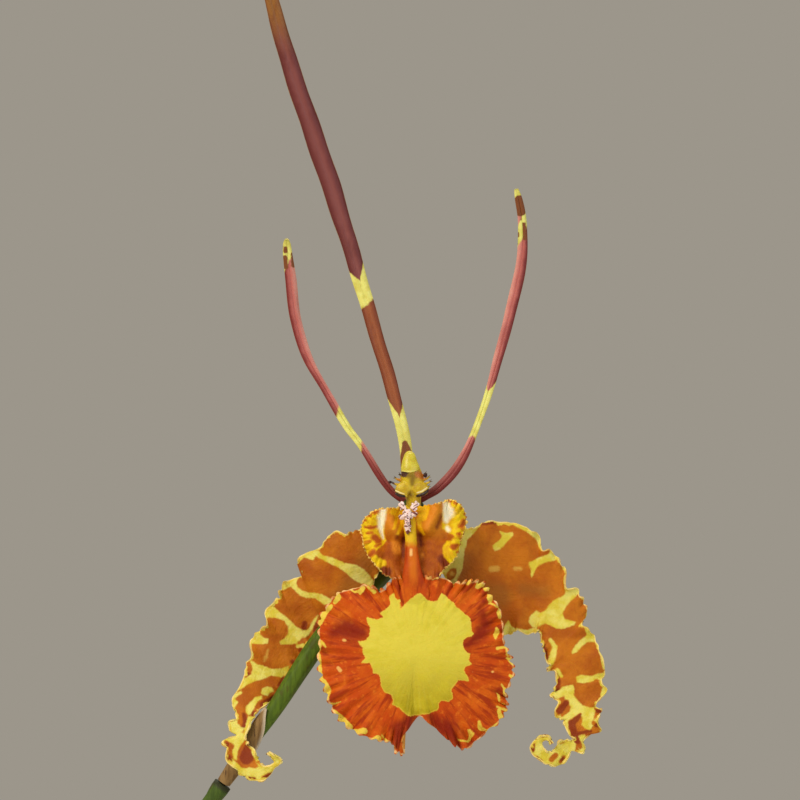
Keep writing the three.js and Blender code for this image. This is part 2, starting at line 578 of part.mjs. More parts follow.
// Anther cap: a pointed hood over the column's head
const CAP = [[-0.3, -2.6, 6.6, 2.15, 1.3], [-0.3, -2.5, 7.2, 2.1, 1.5], [-0.3, -2.3, 8.1, 1.7, 1.45],
  [-0.3, -2.1, 9.0, 1.3, 1.25], [-0.3, -2.0, 9.9, 1.05, 1.0], [-0.3, -2.0, 10.5, 0.75, 0.7], [-0.3, -2.0, 10.8, 0.35, 0.35]];
const cap = place(flower, "anther_cap", stalk(CAP, { steps: 6, sides: 10, flat: [0, 1, 0] }), CAP_YELLOW);
const column = place(flower, "column", clearOf(columnBody, ovary, cap), COLUMN_YELLOW);

// Lip: two side lobes at the top, a ribbed claw between them, and the broad mid lobe below, one grown piece
const MID_CENTRE = [0.6, -30];
const MID_OUTLINE = [
  [-3.8, -14.6], [-5.9, -17.0], [-9.1, -15.9], [-12.2, -16.8], [-15.0, -17.7], [-17.0, -20.2], [-18.6, -23.0],
  [-18.5, -27.2], [-18.7, -31.6], [-17.7, -35.9], [-16.2, -40.0], [-13.9, -43.4], [-10.3, -45.7], [-6.7, -46.9],
  [-4.0, -47.4], [-3.2, -49.2], [-1.6, -49.4], [-2.1, -46.8], [-0.7, -44.4], [1.4, -42.0], [3.1, -43.2],
  [5.0, -44.7], [7.4, -46.9], [10.6, -48.6], [14.4, -45.6], [17.5, -43.0], [19.0, -40.0], [18.8, -37.2],
  [20.2, -33.8], [19.7, -30.4], [18.4, -27.4], [18.1, -24.0], [17.4, -20.4], [15.5, -17.8], [14.2, -15.6],
  [11.6, -15.1], [8.8, -15.5], [6.2, -14.5], [3.4, -14.1], [0.8, -14.2], [-1.8, -14.3],
];
const MID_FRILL = { waves: 16, deep: 0.75 };
function midDepth(x, z, out, round) {
  const dome = -5.2 + 2.6 * ((x - MID_CENTRE[0]) / 20) ** 2 + 1.3 * ((z + 32) / 17) ** 2;
  const groove = 0.5 * Math.exp(-(((x - 0.8) / 1.6) ** 2)) * Math.max(0, (-z - 26) / 16);
  return dome + groove + MID_FRILL.deep * out ** 6 * Math.sin(TAU * MID_FRILL.waves * round);
}
const LEFT_CENTRE = [-5.2, -6.0];
const LEFT_OUTLINE = [[-0.6, -1.0], [-3.2, -0.5], [-6.2, -0.7], [-8.5, -1.6], [-10.0, -3.8], [-9.9, -6.6], [-9.2, -9.2],
  [-7.6, -11.6], [-5.4, -13.9], [-2.4, -14.8], [0.4, -14.4], [0.2, -9], [-0.4, -4]];
const RIGHT_CENTRE = [5.6, -6.2];
const RIGHT_OUTLINE = [[0.2, -0.9], [3.6, 0.1], [6.0, 0.7], [7.8, 1.1], [9.4, 0.4], [10.6, -1.6], [10.7, -4.4],
  [9.7, -7.0], [9.2, -9.4], [8.0, -11.4], [6.4, -12.8], [5.0, -14.6], [2.2, -15.0], [0.2, -14.4], [0.2, -9], [0, -4]];
// The side lobes are cupped round a fold beside the claw, and their frilled rims bend back.
const sideDepth = (sign) => (x, z, out, round) => {
  const fold = Math.exp(-(((Math.abs(x) - 4.2) / 1.9) ** 2) - ((z + 4) / 5) ** 2);
  const shoulder = 1.5 * Math.max(0, (sign * x - 6.5) / 4) ** 1.5;
  const down = 2.1 * Math.max(0, (-z - 7) / 8);
  return -2.6 - 1.1 * fold + shoulder - down + 0.45 * out ** 4 * Math.sin(TAU * 7 * round);
};
const CLAW = [[-0.4, -0.4, -0.5, 1.2, 1.0], [-0.5, -2.9, -3.5, 1.3, 1.1], [-0.2, -4.0, -7, 1.15, 1.0],
  [0, -4.8, -11, 1.5, 0.9], [0.15, -5.0, -14.5, 2.2, 0.8], [0.5, -4.8, -17.5, 3.0, 0.55], [0.5, -4.45, -20, 2.6, 0.3]];
const lipBody = union([
  lobe(MID_CENTRE, MID_OUTLINE, { rings: [0.5, 0.82, 1], sectors: 82, thickness: TEPAL_THICKNESS, depth: midDepth }),
  lobe(LEFT_CENTRE, LEFT_OUTLINE, { rings: [0.45, 0.8, 1], sectors: 28, thickness: TEPAL_THICKNESS, depth: sideDepth(-1) }),
  lobe(RIGHT_CENTRE, RIGHT_OUTLINE, { rings: [0.45, 0.8, 1], sectors: 28, thickness: TEPAL_THICKNESS, depth: sideDepth(1) }),
  stalk(CLAW, { steps: 10, sides: 6, flat: [0, 1, 0] }),
]);
const lip = place(flower, "lip", clearOf(lipBody, ovary, column), LIP_ORANGE);

// Callus: the warty crest on the lip's base, with two horns at its top and a nose below
const callusBody = union([
  ellipsoid([-0.9, -4.3, -2.2], [1.8, 1.3, 1.4], [0, 0, 0], [8, 6]),
  ellipsoid([-2.0, -4.3, -0.3], [0.65, 0.8, 1.35], [0, -0.7, 0], [6, 4]),
  ellipsoid([0.9, -4.3, -0.2], [0.65, 0.8, 1.45], [0, 0.8, 0], [6, 4]),
  ellipsoid([0.7, -4.6, -2.0], [0.8, 0.6, 0.6], [0, 0, 0], [6, 4]),
  ellipsoid([-0.9, -5.0, -3.9], [0.85, 0.95, 1.9], [0.15, 0, 0], [7, 5]),
]);
place(flower, "lip_callus", clearOf(callusBody, lip, column), CALLUS_PINK);

// Lateral sepals: broad, barred and frilled, they hang to either side and curl at the tip. Each rung holds the
// outer and the inner edge in the picture, then the depth of the middle and how far back each margin lies.
const SEPAL_LEFT = [
  [406, 502, 412, 511, 2.8, 0, 0], [385, 514, 398, 545, 2.7, 0, 0.1], [366, 528, 386, 565, 2.9, 0.2, 0.2],
  [357, 530.5, 377, 576, 3.4, 0.3, 0.2], [345, 534, 369, 592, 4, 0.5, 0], [335.5, 531.5, 357, 602, 4.7, 0.6, -0.2],
  [326, 539, 347, 610, 5.4, 0.8, -0.4], [319, 549, 337, 615, 6.2, 0.8, -0.3], [308, 553, 328, 619, 7, 0.8, -0.2],
  [299, 558, 324, 619, 7.7, 0.7, 0.2], [297, 565, 322, 624, 8.3, 0.6, 0.2], [303, 576, 320, 630, 8.7, -0.2, -0.2],
  [292, 579.5, 317, 635, 8.9, 0.5, -0.5], [285, 583, 313, 640, 9, 1, -0.8], [279.5, 591, 309, 644, 8.9, 0.6, -1],
  [277, 600, 306, 649, 8.8, -0.2, -1.2], [268.5, 606, 303, 654, 8.8, 0.6, -1], [265, 615, 300, 660, 8.8, 1, -0.6],
  [264.5, 626, 296.5, 665, 8.6, -0.3, -0.4], [255, 635, 293, 670, 8.4, 0.6, -0.4], [249, 644, 289.5, 676, 8.1, 1, -0.4],
  [250.5, 656, 286, 682, 7.5, 0, -0.3], [245.5, 665, 282, 689, 6.7, 0.6, 0], [243, 677, 277.5, 696, 5.9, 0, 0.3],
  [238.5, 688, 271, 703, 5, 0.6, 0.4], [232, 699, 264.5, 707, 4.1, 1, 0], [232, 707, 257, 713, 3.3, 0.6, -0.6],
  [236, 718, 253, 720, 2.6, -0.2, -0.8], [228, 722, 249.5, 727, 2, 0.8, -0.6], [230, 731, 247, 733, 1.5, 0.4, -0.4],
  [236, 735.5, 246, 738, 1, -0.2, -0.3], [223, 741, 247, 742, 0.6, 0.6, -0.2], [226, 750, 250, 747, 0.1, 0.2, 0],
  [227, 760, 255, 751, -0.5, 0.6, 0.1], [236, 770, 258, 756, -1.2, 0.3, 0.2], [248, 778.5, 259, 760, -1.8, 0.5, 0.2],
  [262, 780.5, 263, 764, -2.3, 0.4, 0.2], [270, 774.5, 268, 764.5, -2.7, 0.2, 0.1], [275, 767, 272, 763.5, -3, 0, 0],
  [282, 762, 274.5, 761, -3.2, 0, 0], [282, 758, 272, 757, -3.4, 0, 0], [276, 754, 269.5, 754.5, -3.6, 0, 0],
  [270, 750.5, 266.5, 752.5, -3.7, 0, 0],
];
const SEPAL_RIGHT = [
  [418, 502, 411, 512, 2.8, 0, 0], [440, 518, 427, 547, 3, 0, 0.2], [466, 528.5, 446, 580, 4, 0.3, 0.4],
  [478, 526, 463, 606, 4.8, 0.4, 0.6], [490, 521, 482, 630, 5.4, 0.8, 0.6], [502, 523, 500, 636, 5.8, 0.4, 0.6],
  [515, 523.5, 511, 635.5, 6, 0.8, 0.2], [529, 529, 518, 631.5, 6.1, 0.4, -0.4], [540, 538, 527, 636, 6.1, 0.9, 0.2],
  [543, 549.5, 534, 634.5, 6, -0.2, -0.2], [551, 551, 537, 633, 5.8, 0.6, -0.4], [560, 561, 538.5, 632, 5.6, 0.8, -0.4],
  [566, 572, 540, 634, 5.4, 0.2, -0.3], [567.5, 587, 541, 638, 5.2, -0.2, -0.2], [577, 589.5, 542, 643, 5, 0.8, 0],
  [584, 601, 543.5, 649, 4.7, 0.6, 0.3], [588, 614.5, 545.5, 656, 4.4, 0.8, 0.6], [582.5, 626, 547.5, 662, 4.2, -0.4, 0.4],
  [591, 631, 549.5, 667, 3.9, 0.8, 0], [597.5, 643, 547.5, 671, 3.7, 0.6, 0.6], [600.5, 652, 555.5, 673, 3.4, -0.2, -0.4],
  [604, 662, 556.5, 681, 3.1, 0.6, 0.2], [605.5, 676, 555, 689, 2.8, 0.8, 0.6], [602, 681, 551, 697.5, 2.6, -0.4, 0.2],
  [608, 691, 558, 702, 2.3, 0.8, -0.4], [602, 698.5, 554.5, 711, 2, 0, 0.5], [595.5, 706, 557, 718.5, 1.7, -0.3, 0.4],
  [602.5, 711, 563, 720.5, 1.4, 0.6, -0.2], [598, 720, 564.5, 727, 1.1, -0.2, 0.2], [602.5, 731, 568, 733, 0.8, 0.7, 0],
  [592, 733.5, 572, 737, 0.4, -0.2, 0.2], [584, 741, 573.5, 740, 0.1, 0, 0], [584.5, 753, 569, 740, -0.3, 0.3, 0],
  [573, 751, 563, 739.5, -0.6, 0, 0], [567.5, 757, 558.5, 741, -1, 0.2, -0.2], [559, 765.5, 555, 747.5, -1.3, 0.3, -0.2],
  [548, 764.5, 550.5, 751, -1.5, 0.3, -0.2], [536, 757.5, 545.5, 749.5, -1.7, 0.3, 0], [530.5, 748, 543, 746, -1.9, 0.3, 0],
  [534, 740, 542, 742, -2.1, 0.2, 0], [541, 734.5, 545, 739.5, -2.3, 0, 0], [548.5, 735, 548, 740.5, -2.5, 0, 0],
  [553, 742.5, 549.5, 744, -2.7, 0, 0],
];
const sepal = (rungs, shift) =>
  rungBlade(rungs, {
    across: 6,
    thickness: TEPAL_THICKNESS,
    wave: (s, v) => 0.45 * Math.abs(v) ** 2.2 * Math.sin((TAU * s) / 6.2 + shift + (v > 0 ? 0 : 1.9)),
  });
const sepalLeft = place(flower, "lateral_sepal_left",
  clearOf(sepal(SEPAL_LEFT, 0.4), ovary, lip, column, bract), TEPAL_ORANGE);
const sepalRight = place(flower, "lateral_sepal_right",
  clearOf(sepal(SEPAL_RIGHT, 1.2), ovary, lip, column, sepalLeft), TEPAL_ORANGE);

// Petals and dorsal sepal: narrow channelled straps that stand up like feelers
const PETAL_LEFT = [
  [-0.6, 2.2, 0.6, 0.3, -1, 0, 0.7, 0.7, 0.4], [-2.6, 1.9, 1.6, 0.3, -1, 0, 0.75, 0.75, 0.8],
  [-5.2, 1.9, 4.2, 0.4, -1, 0, 0.75, 0.75, 0.9], [-10.1, 2.4, 11.8, 0.5, -1, 0, 0.8, 0.8, 0.9],
  [-13.0, 3.0, 15.8, 0.5, -1, 0, 0.8, 0.8, 0.9], [-17.4, 4.0, 23.2, 0.5, -1, 0, 0.85, 0.85, 0.8],
  [-21.2, 4.8, 30.2, 0.3, -1, 0, 1.05, 1.05, 0.8], [-23.2, 5.0, 37.0, 0.2, -1, 0, 1.15, 1.15, 0.8],
  [-24.4, 4.6, 45.6, 0.1, -1, 0, 1.15, 1.15, 0.8], [-25.0, 3.6, 51.4, 0, -1, 0, 0.85, 0.85, 0.7],
  [-25.1, 2.8, 53.2, 0, -1, 0, 0.4, 0.4, 0.3],
];
const PETAL_RIGHT = [
  [0.8, 2.2, 0.6, -0.2, -1, 0, 0.7, 0.7, 0.4], [2.8, 1.9, 1.8, -0.2, -1, 0, 0.8, 0.8, 0.8],
  [5.5, 1.8, 3.6, -0.2, -1, 0, 0.95, 0.95, 0.8], [8.9, 2.0, 7.5, -0.3, -1, 0, 1.0, 1.0, 0.9],
  [12.5, 2.4, 14.5, -0.4, -1, 0, 0.75, 0.75, 0.9], [15.7, 3.2, 24.0, -0.4, -1, 0, 0.85, 0.85, 0.9],
  [18.6, 4.0, 34.4, -0.2, -1, 0, 1.1, 1.1, 0.8], [20.7, 4.6, 42.6, -0.2, -1, 0, 1.15, 1.15, 0.8],
  [22.1, 4.6, 50.0, -0.1, -1, 0, 1.1, 1.1, 0.8], [22.2, 4.0, 56.0, 0, -1, 0, 0.85, 0.85, 0.8],
  [21.4, 3.2, 61.0, 0, -1, 0, 0.75, 0.75, 0.6], [20.9, 2.8, 63.3, 0, -1, 0, 0.4, 0.4, 0.3],
];
const SEPAL_DORSAL = [
  [-0.3, 2.6, 1.2, 0, -1, 0, 0.9, 0.9, 0.3], [-0.9, 2.4, 6.0, 0, -1, 0, 1.2, 1.2, 0.6],
  [-1.4, 2.6, 12.4, 0, -1, 0, 1.25, 1.25, 0.6], [-3.75, 3.6, 22.4, 0, -1, 0, 1.35, 1.35, 0.6],
  [-6.6, 5.0, 32.0, 0, -1, 0, 1.4, 1.4, 0.6], [-9.65, 6.2, 42.4, 0, -1, 0, 1.5, 1.5, 0.6],
  [-12.9, 7.0, 53.4, 0, -1, 0, 1.7, 1.7, 0.6], [-16.7, 7.2, 65.4, 0, -1, 0, 2.0, 2.0, 0.6],
  [-20.4, 6.8, 76.2, 0, -1, 0, 1.95, 1.95, 0.6], [-24.4, 5.6, 88.0, 0, -1, 0, 1.8, 1.8, 0.6],
  [-27.8, 3.8, 99.8, 0, -1, 0.1, 1.45, 1.45, 0.5], [-29.8, 2.0, 107.6, 0, -1, 0.2, 0.95, 0.95, 0.4],
  [-30.8, 1.0, 111, 0, -1, 0.2, 0.4, 0.4, 0.2],
];
const strapWave = frill({ deep: 0.1, wide: 0.08, length: 17, from: 0.2 });
const straps = { steps: 20, across: 4, thickness: TEPAL_THICKNESS, wave: strapWave };
const dorsal = place(flower, "dorsal_sepal",
  clearOf(blade(SEPAL_DORSAL, { ...straps, steps: 27 }), ovary, column, cap), SEPAL_RED);
place(flower, "petal_left", clearOf(blade(PETAL_LEFT, straps), ovary, column, lip, sepalLeft, dorsal), SEPAL_RED);
place(flower, "petal_right", clearOf(blade(PETAL_RIGHT, straps), ovary, column, lip, sepalRight, dorsal), SEPAL_RED);

export default plant;
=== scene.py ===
"""A butterfly orchid in a clay pot, dressed for its picture.

Shapes are in millimetres until a mesh is made.
"""

import math

import bpy
import numpy as np
from mathutils import Euler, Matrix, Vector


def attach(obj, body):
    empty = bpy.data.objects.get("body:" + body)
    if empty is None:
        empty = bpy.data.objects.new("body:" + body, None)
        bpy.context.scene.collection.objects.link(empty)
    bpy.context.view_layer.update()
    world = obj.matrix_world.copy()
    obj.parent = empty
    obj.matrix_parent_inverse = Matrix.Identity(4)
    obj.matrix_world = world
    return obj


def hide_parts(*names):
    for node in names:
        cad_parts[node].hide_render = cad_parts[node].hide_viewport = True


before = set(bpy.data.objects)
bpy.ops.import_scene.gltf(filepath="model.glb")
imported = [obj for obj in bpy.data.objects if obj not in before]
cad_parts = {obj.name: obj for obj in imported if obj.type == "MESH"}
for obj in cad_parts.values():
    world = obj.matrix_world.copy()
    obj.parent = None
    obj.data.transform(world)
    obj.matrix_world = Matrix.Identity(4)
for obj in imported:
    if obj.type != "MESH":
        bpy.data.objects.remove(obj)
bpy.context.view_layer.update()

# Driving dimensions, the same as the solids'
MM = 0.001
TAU = 2 * math.pi
SEAT_GAP = 0.3
FLOWER_AT = np.array([190.0, -42.0, 540.0])
NODE_IN_FLOWER = np.array([-38.0, 5.5, -56.2])
PICTURE_MIDDLE = np.array([412.0, 505.0])  # the pixel over FLOWER_AT
PICTURE_SCALE = 0.2  # millimetres to a pixel of the flower's picture
FORWARD = (0, -1, 0)  # the way that the flower looks
TEPAL_THICKNESS = 0.55
LEAF_THICKNESS = 1.5

# Numbers that several shapes share
TINY = 1e-9  # keeps a division by nothing from failing
FAR = 1e3  # more pixels than lie between a point and any mark
MARGIN_POWER = 2.2  # how closely a blade's waves keep to its margins
MARGINS_APART = 1.9  # radians between the waves of a blade's two margins
LEAST_ROLL = 1e-3  # radians; a flatter blade counts as rolled by this much
CURVE_PARTS = 16  # parts between two rows of a curve, where its length is measured
WAVY_PARTS = 6  # waves added up to a random field
WAVY_SUM = 3.2  # brings their sum to about -1 to 1
EVEN_PART = 28  # a lobe's inner rings even its outline out over this part of the round, to both sides


# Rows of numbers
def unit(v):
    return v / np.maximum(np.linalg.norm(v, axis=-1, keepdims=True), TINY)


def rows_at(rows, t):
    """A smooth curve through rows of numbers; t counts rows."""
    rows = np.asarray(rows, float)
    i = np.clip(np.floor(t).astype(int), 0, len(rows) - 2)
    f = (t - i)[..., None]
    before, here = rows[np.maximum(i - 1, 0)], rows[i]
    after, beyond = rows[i + 1], rows[np.minimum(i + 2, len(rows) - 1)]
    leave, arrive = (after - before) / 2, (beyond - here) / 2
    f2, f3 = f**2, f**3
    near = (2 * f3 - 3 * f2 + 1) * here + (f3 - 2 * f2 + f) * leave
    return near + (3 * f2 - 2 * f3) * after + (f3 - f2) * arrive


def even_rows(rows, count):
    """Rows at equal steps of length along the first three columns, and the length up to each."""
    dense = rows_at(rows, np.linspace(0, len(rows) - 1, CURVE_PARTS * (len(rows) - 1) + 1))
    along = np.r_[0, np.cumsum(np.linalg.norm(np.diff(dense[:, :3], axis=0), axis=1))]
    s = np.linspace(0, along[-1], count + 1)
    return np.column_stack([np.interp(s, along, column) for column in dense.T]), s


def smooth(x, low, high):
    """A soft step from 0 at `low` to 1 at `high`."""
    k = np.clip((x - low) / (high - low), 0, 1)
    return k * k * (3 - 2 * k)


def to_picture(points):
    """Pixels of the flower's picture for points in the flower's own frame."""
    return np.stack([PICTURE_MIDDLE[0] + points[..., 0] / PICTURE_SCALE,
                     PICTURE_MIDDLE[1] - points[..., 2] / PICTURE_SCALE], -1)


def wavy(points, size, seed):
    """A smooth random field from -1 to 1 over points, with features of about `size`."""
    rng = np.random.default_rng(seed)
    total = np.zeros(points.shape[:-1])
    for _ in range(WAVY_PARTS):
        way = rng.normal(size=points.shape[-1])
        length, shift = size * rng.uniform(0.7, 1.5), rng.uniform(0, TAU)
        total += np.sin(points @ (way / np.linalg.norm(way)) * TAU / length + shift)
    return total / WAVY_SUM


# Marks on the flower, drawn in its picture: how many pixels a point lies inside a stroke or a patch
def stroke(pixels, knots):
    """A stroke runs through knots of (x, y, radius)."""
    knots = np.asarray(knots, float)
    best = np.full(pixels.shape[:-1], -FAR)
    for a, b in zip(knots[:-1], knots[1:]) if len(knots) > 1 else [(knots[0], knots[0])]:
        way = b[:2] - a[:2]
        share = np.clip(((pixels - a[:2]) @ way) / max(way @ way, TINY), 0, 1)
        gap = np.linalg.norm(pixels - a[:2] - share[..., None] * way, axis=-1)
        best = np.maximum(best, a[2] + (b[2] - a[2]) * share - gap)
    return best


def strokes(pixels, marks):
    return np.max([stroke(pixels, knots) for knots in marks], axis=0)


def patch(pixels, corners):
    """A patch is a closed outline; the field is positive inside it."""
    corners = np.asarray(corners, float)
    gap = np.full(pixels.shape[:-1], FAR)
    inside = np.zeros(pixels.shape[:-1], bool)
    for a, b in zip(corners, np.roll(corners, -1, axis=0)):
        way = b - a
        share = np.clip(((pixels - a) @ way) / max(way @ way, TINY), 0, 1)
        gap = np.minimum(gap, np.linalg.norm(pixels - a - share[..., None] * way, axis=-1))
        crosses = (a[1] > pixels[..., 1]) != (b[1] > pixels[..., 1])
        rise = b[1] - a[1] if abs(b[1] - a[1]) > TINY else TINY
        inside ^= crosses & (pixels[..., 0] < a[0] + (pixels[..., 1] - a[1]) * (b[0] - a[0]) / rise)
    return np.where(inside, gap, -gap)


def patches(pixels, outlines):
    return np.max([patch(pixels, corners) for corners in outlines], axis=0)


# Surfaces
def grid_faces(rows, columns, closed=False):
    i, j = np.meshgrid(np.arange(rows - 1), np.arange(columns if closed else columns - 1), indexing="ij")
    k = (j + 1) % columns
    corners = [i * columns + j, i * columns + k, (i + 1) * columns + k, (i + 1) * columns + j]
    return np.stack(corners, -1).reshape(-1, 4).tolist()


def sheet(points, thickness, towards, closed=False):
    """A grid of points made into a closed sheet whose front looks `towards`.

    A closed grid goes round a centre.
    """
    rows, columns = points.shape[:2]
    along = np.gradient(points, axis=0)
    across = (np.roll(points, -1, 1) - np.roll(points, 1, 1)) if closed else np.gradient(points, axis=1)
    normal = unit(np.cross(along, across))
    if (normal @ np.asarray(towards, float)).sum() < 0:
        normal = -normal
    half = normal * np.broadcast_to(thickness, (rows, columns))[..., None] / 2
    verts = np.concatenate([(points + half).reshape(-1, 3), (points - half).reshape(-1, 3)])
    count = rows * columns
    front = grid_faces(rows, columns, closed)
    back = [[a + count for a in reversed(face)] for face in front]
    ids = np.arange(count).reshape(rows, columns)
    if closed:
        rim = np.r_[ids[-1], ids[-1][:1]]
        first = len(verts)
        centres = [verts[:columns].mean(0)[None], verts[count:count + columns].mean(0)[None]]
        verts = np.concatenate([verts, *centres])
        for j in range(columns):
            k = (j + 1) % columns
            front.append([first, k, j])
            back.append([first + 1, j + count, k + count])
    else:
        rim = np.r_[ids[0], ids[1:, -1], ids[-1, -2::-1], ids[-2:0:-1, 0], ids[0, :1]]
    pairs = zip(rim[:-1].tolist(), rim[1:].tolist())
    walls = [[a, b, b + count, a + count] for a, b in pairs]
    return verts, front + back + walls


def doubled(field, closed=False):
    """A field of a sheet's grid, for its front and its back."""
    flat = np.asarray(field, float).ravel()
    ends = [flat[: field.shape[1]].mean()] * 2 if closed else []
    return np.concatenate([flat, flat, ends])


def under_side(field, closed):
    """A sheet's field that is 0 on its front and 1 on its back."""
    return np.concatenate([np.zeros(field.size), np.ones(field.size), [0, 1] if closed else []])


def both_sides(fields, closed=False):
    """The fields of a sheet's grid, for its front and its back, and one that tells them apart."""
    made = {name: doubled(field, closed) for name, field in fields.items()}
    return made | {"under": under_side(next(iter(fields.values())), closed)}


def spine(stations, steps):
    """Even rows of a line of stations, the length up to each, and the way the line runs there."""
    rows, s = even_rows(stations, steps)
    at = rows[:, :3]
    index = np.arange(steps + 1)
    return rows, s, unit(at[np.minimum(index + 1, steps)] - at[np.maximum(index - 1, 0)])


def tube(stations, steps, sides, flat=(0, 1, 0), swell=None):
    """A closed tube through stations [x, y, z, wide radius, thin radius], which `swell` grows."""
    rows, s, tangent = spine(stations, steps)
    wide = unit(np.cross(np.asarray(flat, float), tangent))
    thin = np.cross(tangent, wide)
    turn = TAU * np.arange(sides) / sides
    grow = swell(s[:, None], turn[None, :]) if swell else np.ones((steps + 1, sides))
    points = rows[:, None, :3] + wide[:, None] * (rows[:, 3:4] * np.cos(turn) * grow)[..., None]
    points = points + thin[:, None] * (rows[:, 4:5] * np.sin(turn) * grow)[..., None]
    return closed_rings(points)


def closed_rings(points):
    """Rings of points joined to a closed shape, with a point in the middle of each end."""
    rings, sides = points.shape[:2]
    verts = np.concatenate([points.reshape(-1, 3), points[0].mean(0)[None], points[-1].mean(0)[None]])
    faces = grid_faces(rings, sides, closed=True)
    first, last = len(verts) - 2, len(verts) - 1
    end = (rings - 1) * sides
    for j in range(sides):
        k = (j + 1) % sides
        faces += [[first, k, j], [last, end + j, end + k]]
    return verts, faces


def shares_across(across):
    """Shares across a blade from -1 to 1, closer together at its margins."""
    return np.sin(np.linspace(-1, 1, across + 1) * math.pi / 2)[None, :]


def blade(stations, steps, across, wave=None):
    """Points of a blade through stations [x, y, z, face, half width, roll], and its own measures."""
    rows, s, tangent = spine(stations, steps)
    right = unit(np.cross(tangent, rows[:, 3:6]))
    face = np.cross(right, tangent)
    s = s[:, None] + np.zeros(across + 1)
    v = shares_across(across) + 0 * s
    w = rows[:, 6:7] + 0 * v
    roll = np.where(np.abs(rows[:, 7:8]) < LEAST_ROLL, LEAST_ROLL, rows[:, 7:8])
    side = w * np.sin(v * roll) / roll
    back = w * (1 - np.cos(v * roll)) / roll
    share = s / s[-1, 0]
    lift, reach = wave(s, share, v, w) if wave else (0 * s, 0 * s)
    points = rows[:, None, :3] + right[:, None] * (side + reach)[..., None]
    return points + face[:, None] * (lift - back)[..., None], s, share, v, w


def uneven(share, seed):
    """A smooth random curve round a circle, about -1 to 1; share goes round from 0 to 1."""
    rng = np.random.default_rng(seed)
    total = sum(np.sin(TAU * (rng.integers(2, 19) * share + rng.uniform())) for _ in range(7))
    return total / 3


def rung_blade(rungs, fine, across, shift, crisp):
    """Points of a broad blade whose rungs hold both edges in the picture, depth and margins' set-back."""
    row = rows_at(rungs, np.linspace(0, len(rungs) - 1, fine * (len(rungs) - 1) + 1))
    v = shares_across(across)
    k = (v + 1) / 2
    edge = (row[:, 2:4] - row[:, 0:2]) * PICTURE_SCALE
    middle = (row[:, 2:4] + row[:, 0:2]) / 2 * PICTURE_SCALE
    gaps = np.linalg.norm(np.diff(middle, axis=0), axis=1)
    s = np.r_[0, np.cumsum(gaps)][:, None] + 0 * v
    w = np.linalg.norm(edge, axis=1)[:, None] / 2 + 0 * v
    out = unit(edge)[:, None]
    x = (row[:, 0:1] * (1 - k) + row[:, 2:3] * k - PICTURE_MIDDLE[0]) * PICTURE_SCALE
    z = (PICTURE_MIDDLE[1] - row[:, 1:2] * (1 - k) - row[:, 3:4] * k) * PICTURE_SCALE
    back = np.where(v < 0, row[:, 5:6], row[:, 6:7]) * v * v
    phase = TAU * s / crisp["wave"] + shift + np.where(v > 0, 0, MARGINS_APART)
    wave = crisp["swing"] * np.abs(v) ** MARGIN_POWER * np.sin(phase)
    share = s / s[-1, 0]
    stir = np.where(v > 0, uneven(share, 31), uneven(share, 34))
    margin = np.abs(v) ** 8 * np.minimum(1, w / 2) * (1 + 0.75 * stir)
    ripple = TAU * s / crisp["length"] + 1.7 * np.sin(s * 0.9 + shift) + np.where(v > 0, 0.8, 0)
    deep = crisp["deep"] * margin * np.sin(ripple)
    reach = crisp["wide"] * margin * np.sign(v) * np.cos(ripple * 1.27)
    y = row[:, 4:5] + back + wave + deep
    points = np.stack([x + reach * out[..., 0], y, z - reach * out[..., 1]], -1)
    return points, s, v + 0 * s, w


def lobe(centre, outline, grid, depth, crisp):
    """Points of a lobe that spreads from a centre to an outline of [x, z] points, ring by ring."""
    rings, sectors = grid
    closed = np.asarray([outline[-1], *outline, outline[0], outline[1]], float)
    edge = rows_at(closed, 1 + len(outline) * np.arange(sectors) / sectors)
    turns = range(-sectors // EVEN_PART, sectors // EVEN_PART + 1)
    even = np.mean([np.roll(edge, turn, axis=0) for turn in turns], axis=0)
    share = shares_to_edge(rings)[:, None]
    rim = even + (edge - even) * share[..., None] ** 6
    round_ = (np.arange(sectors) / sectors)[None, :]
    waves, stir = crisp["waves"], uneven(round_, crisp["waves"])
    calm = crisp["calm"]
    free = 1 - 0.95 * smooth(round_, calm[0], calm[0] + 0.025) * smooth(round_, calm[1], calm[1] - 0.025)
    far = np.linalg.norm(edge - centre, axis=1)
    reach = free * crisp["wide"] * (1 + 0.7 * uneven(round_, waves + 1)) / far
    out = share * (1 + reach * np.cos(TAU * round(1.31 * waves) * round_ + 2 * stir) * share**8)
    x = centre[0] + (rim[..., 0] - centre[0]) * out
    z = centre[1] + (rim[..., 1] - centre[1]) * out
    y = depth(x, z, share + 0 * x, round_ + 0 * x)
    frill = np.sin(TAU * waves * round_ + 2 * np.sin(TAU * 5 * round_))
    y = y + free * crisp["deep"] * (1 + 0.7 * stir) * share**9 * frill
    return np.stack([x, y, z], -1), edge


def shares_to_edge(count):
    """Rings from near the centre to the edge, closer together towards the edge."""
    return np.sin(np.linspace(0.02, 1, count) * math.pi / 2) ** 0.9


# Materials
def linear(colour):
    """A colour written as RRGGBB, in the linear values that shaders use."""
    parts = np.array([int(colour[i:i + 2], 16) for i in (0, 2, 4)]) / 255
    straight = np.where(parts <= 0.04045, parts / 12.92, ((parts + 0.055) / 1.055) ** 2.4)
    return (*straight.tolist(), 1.0)


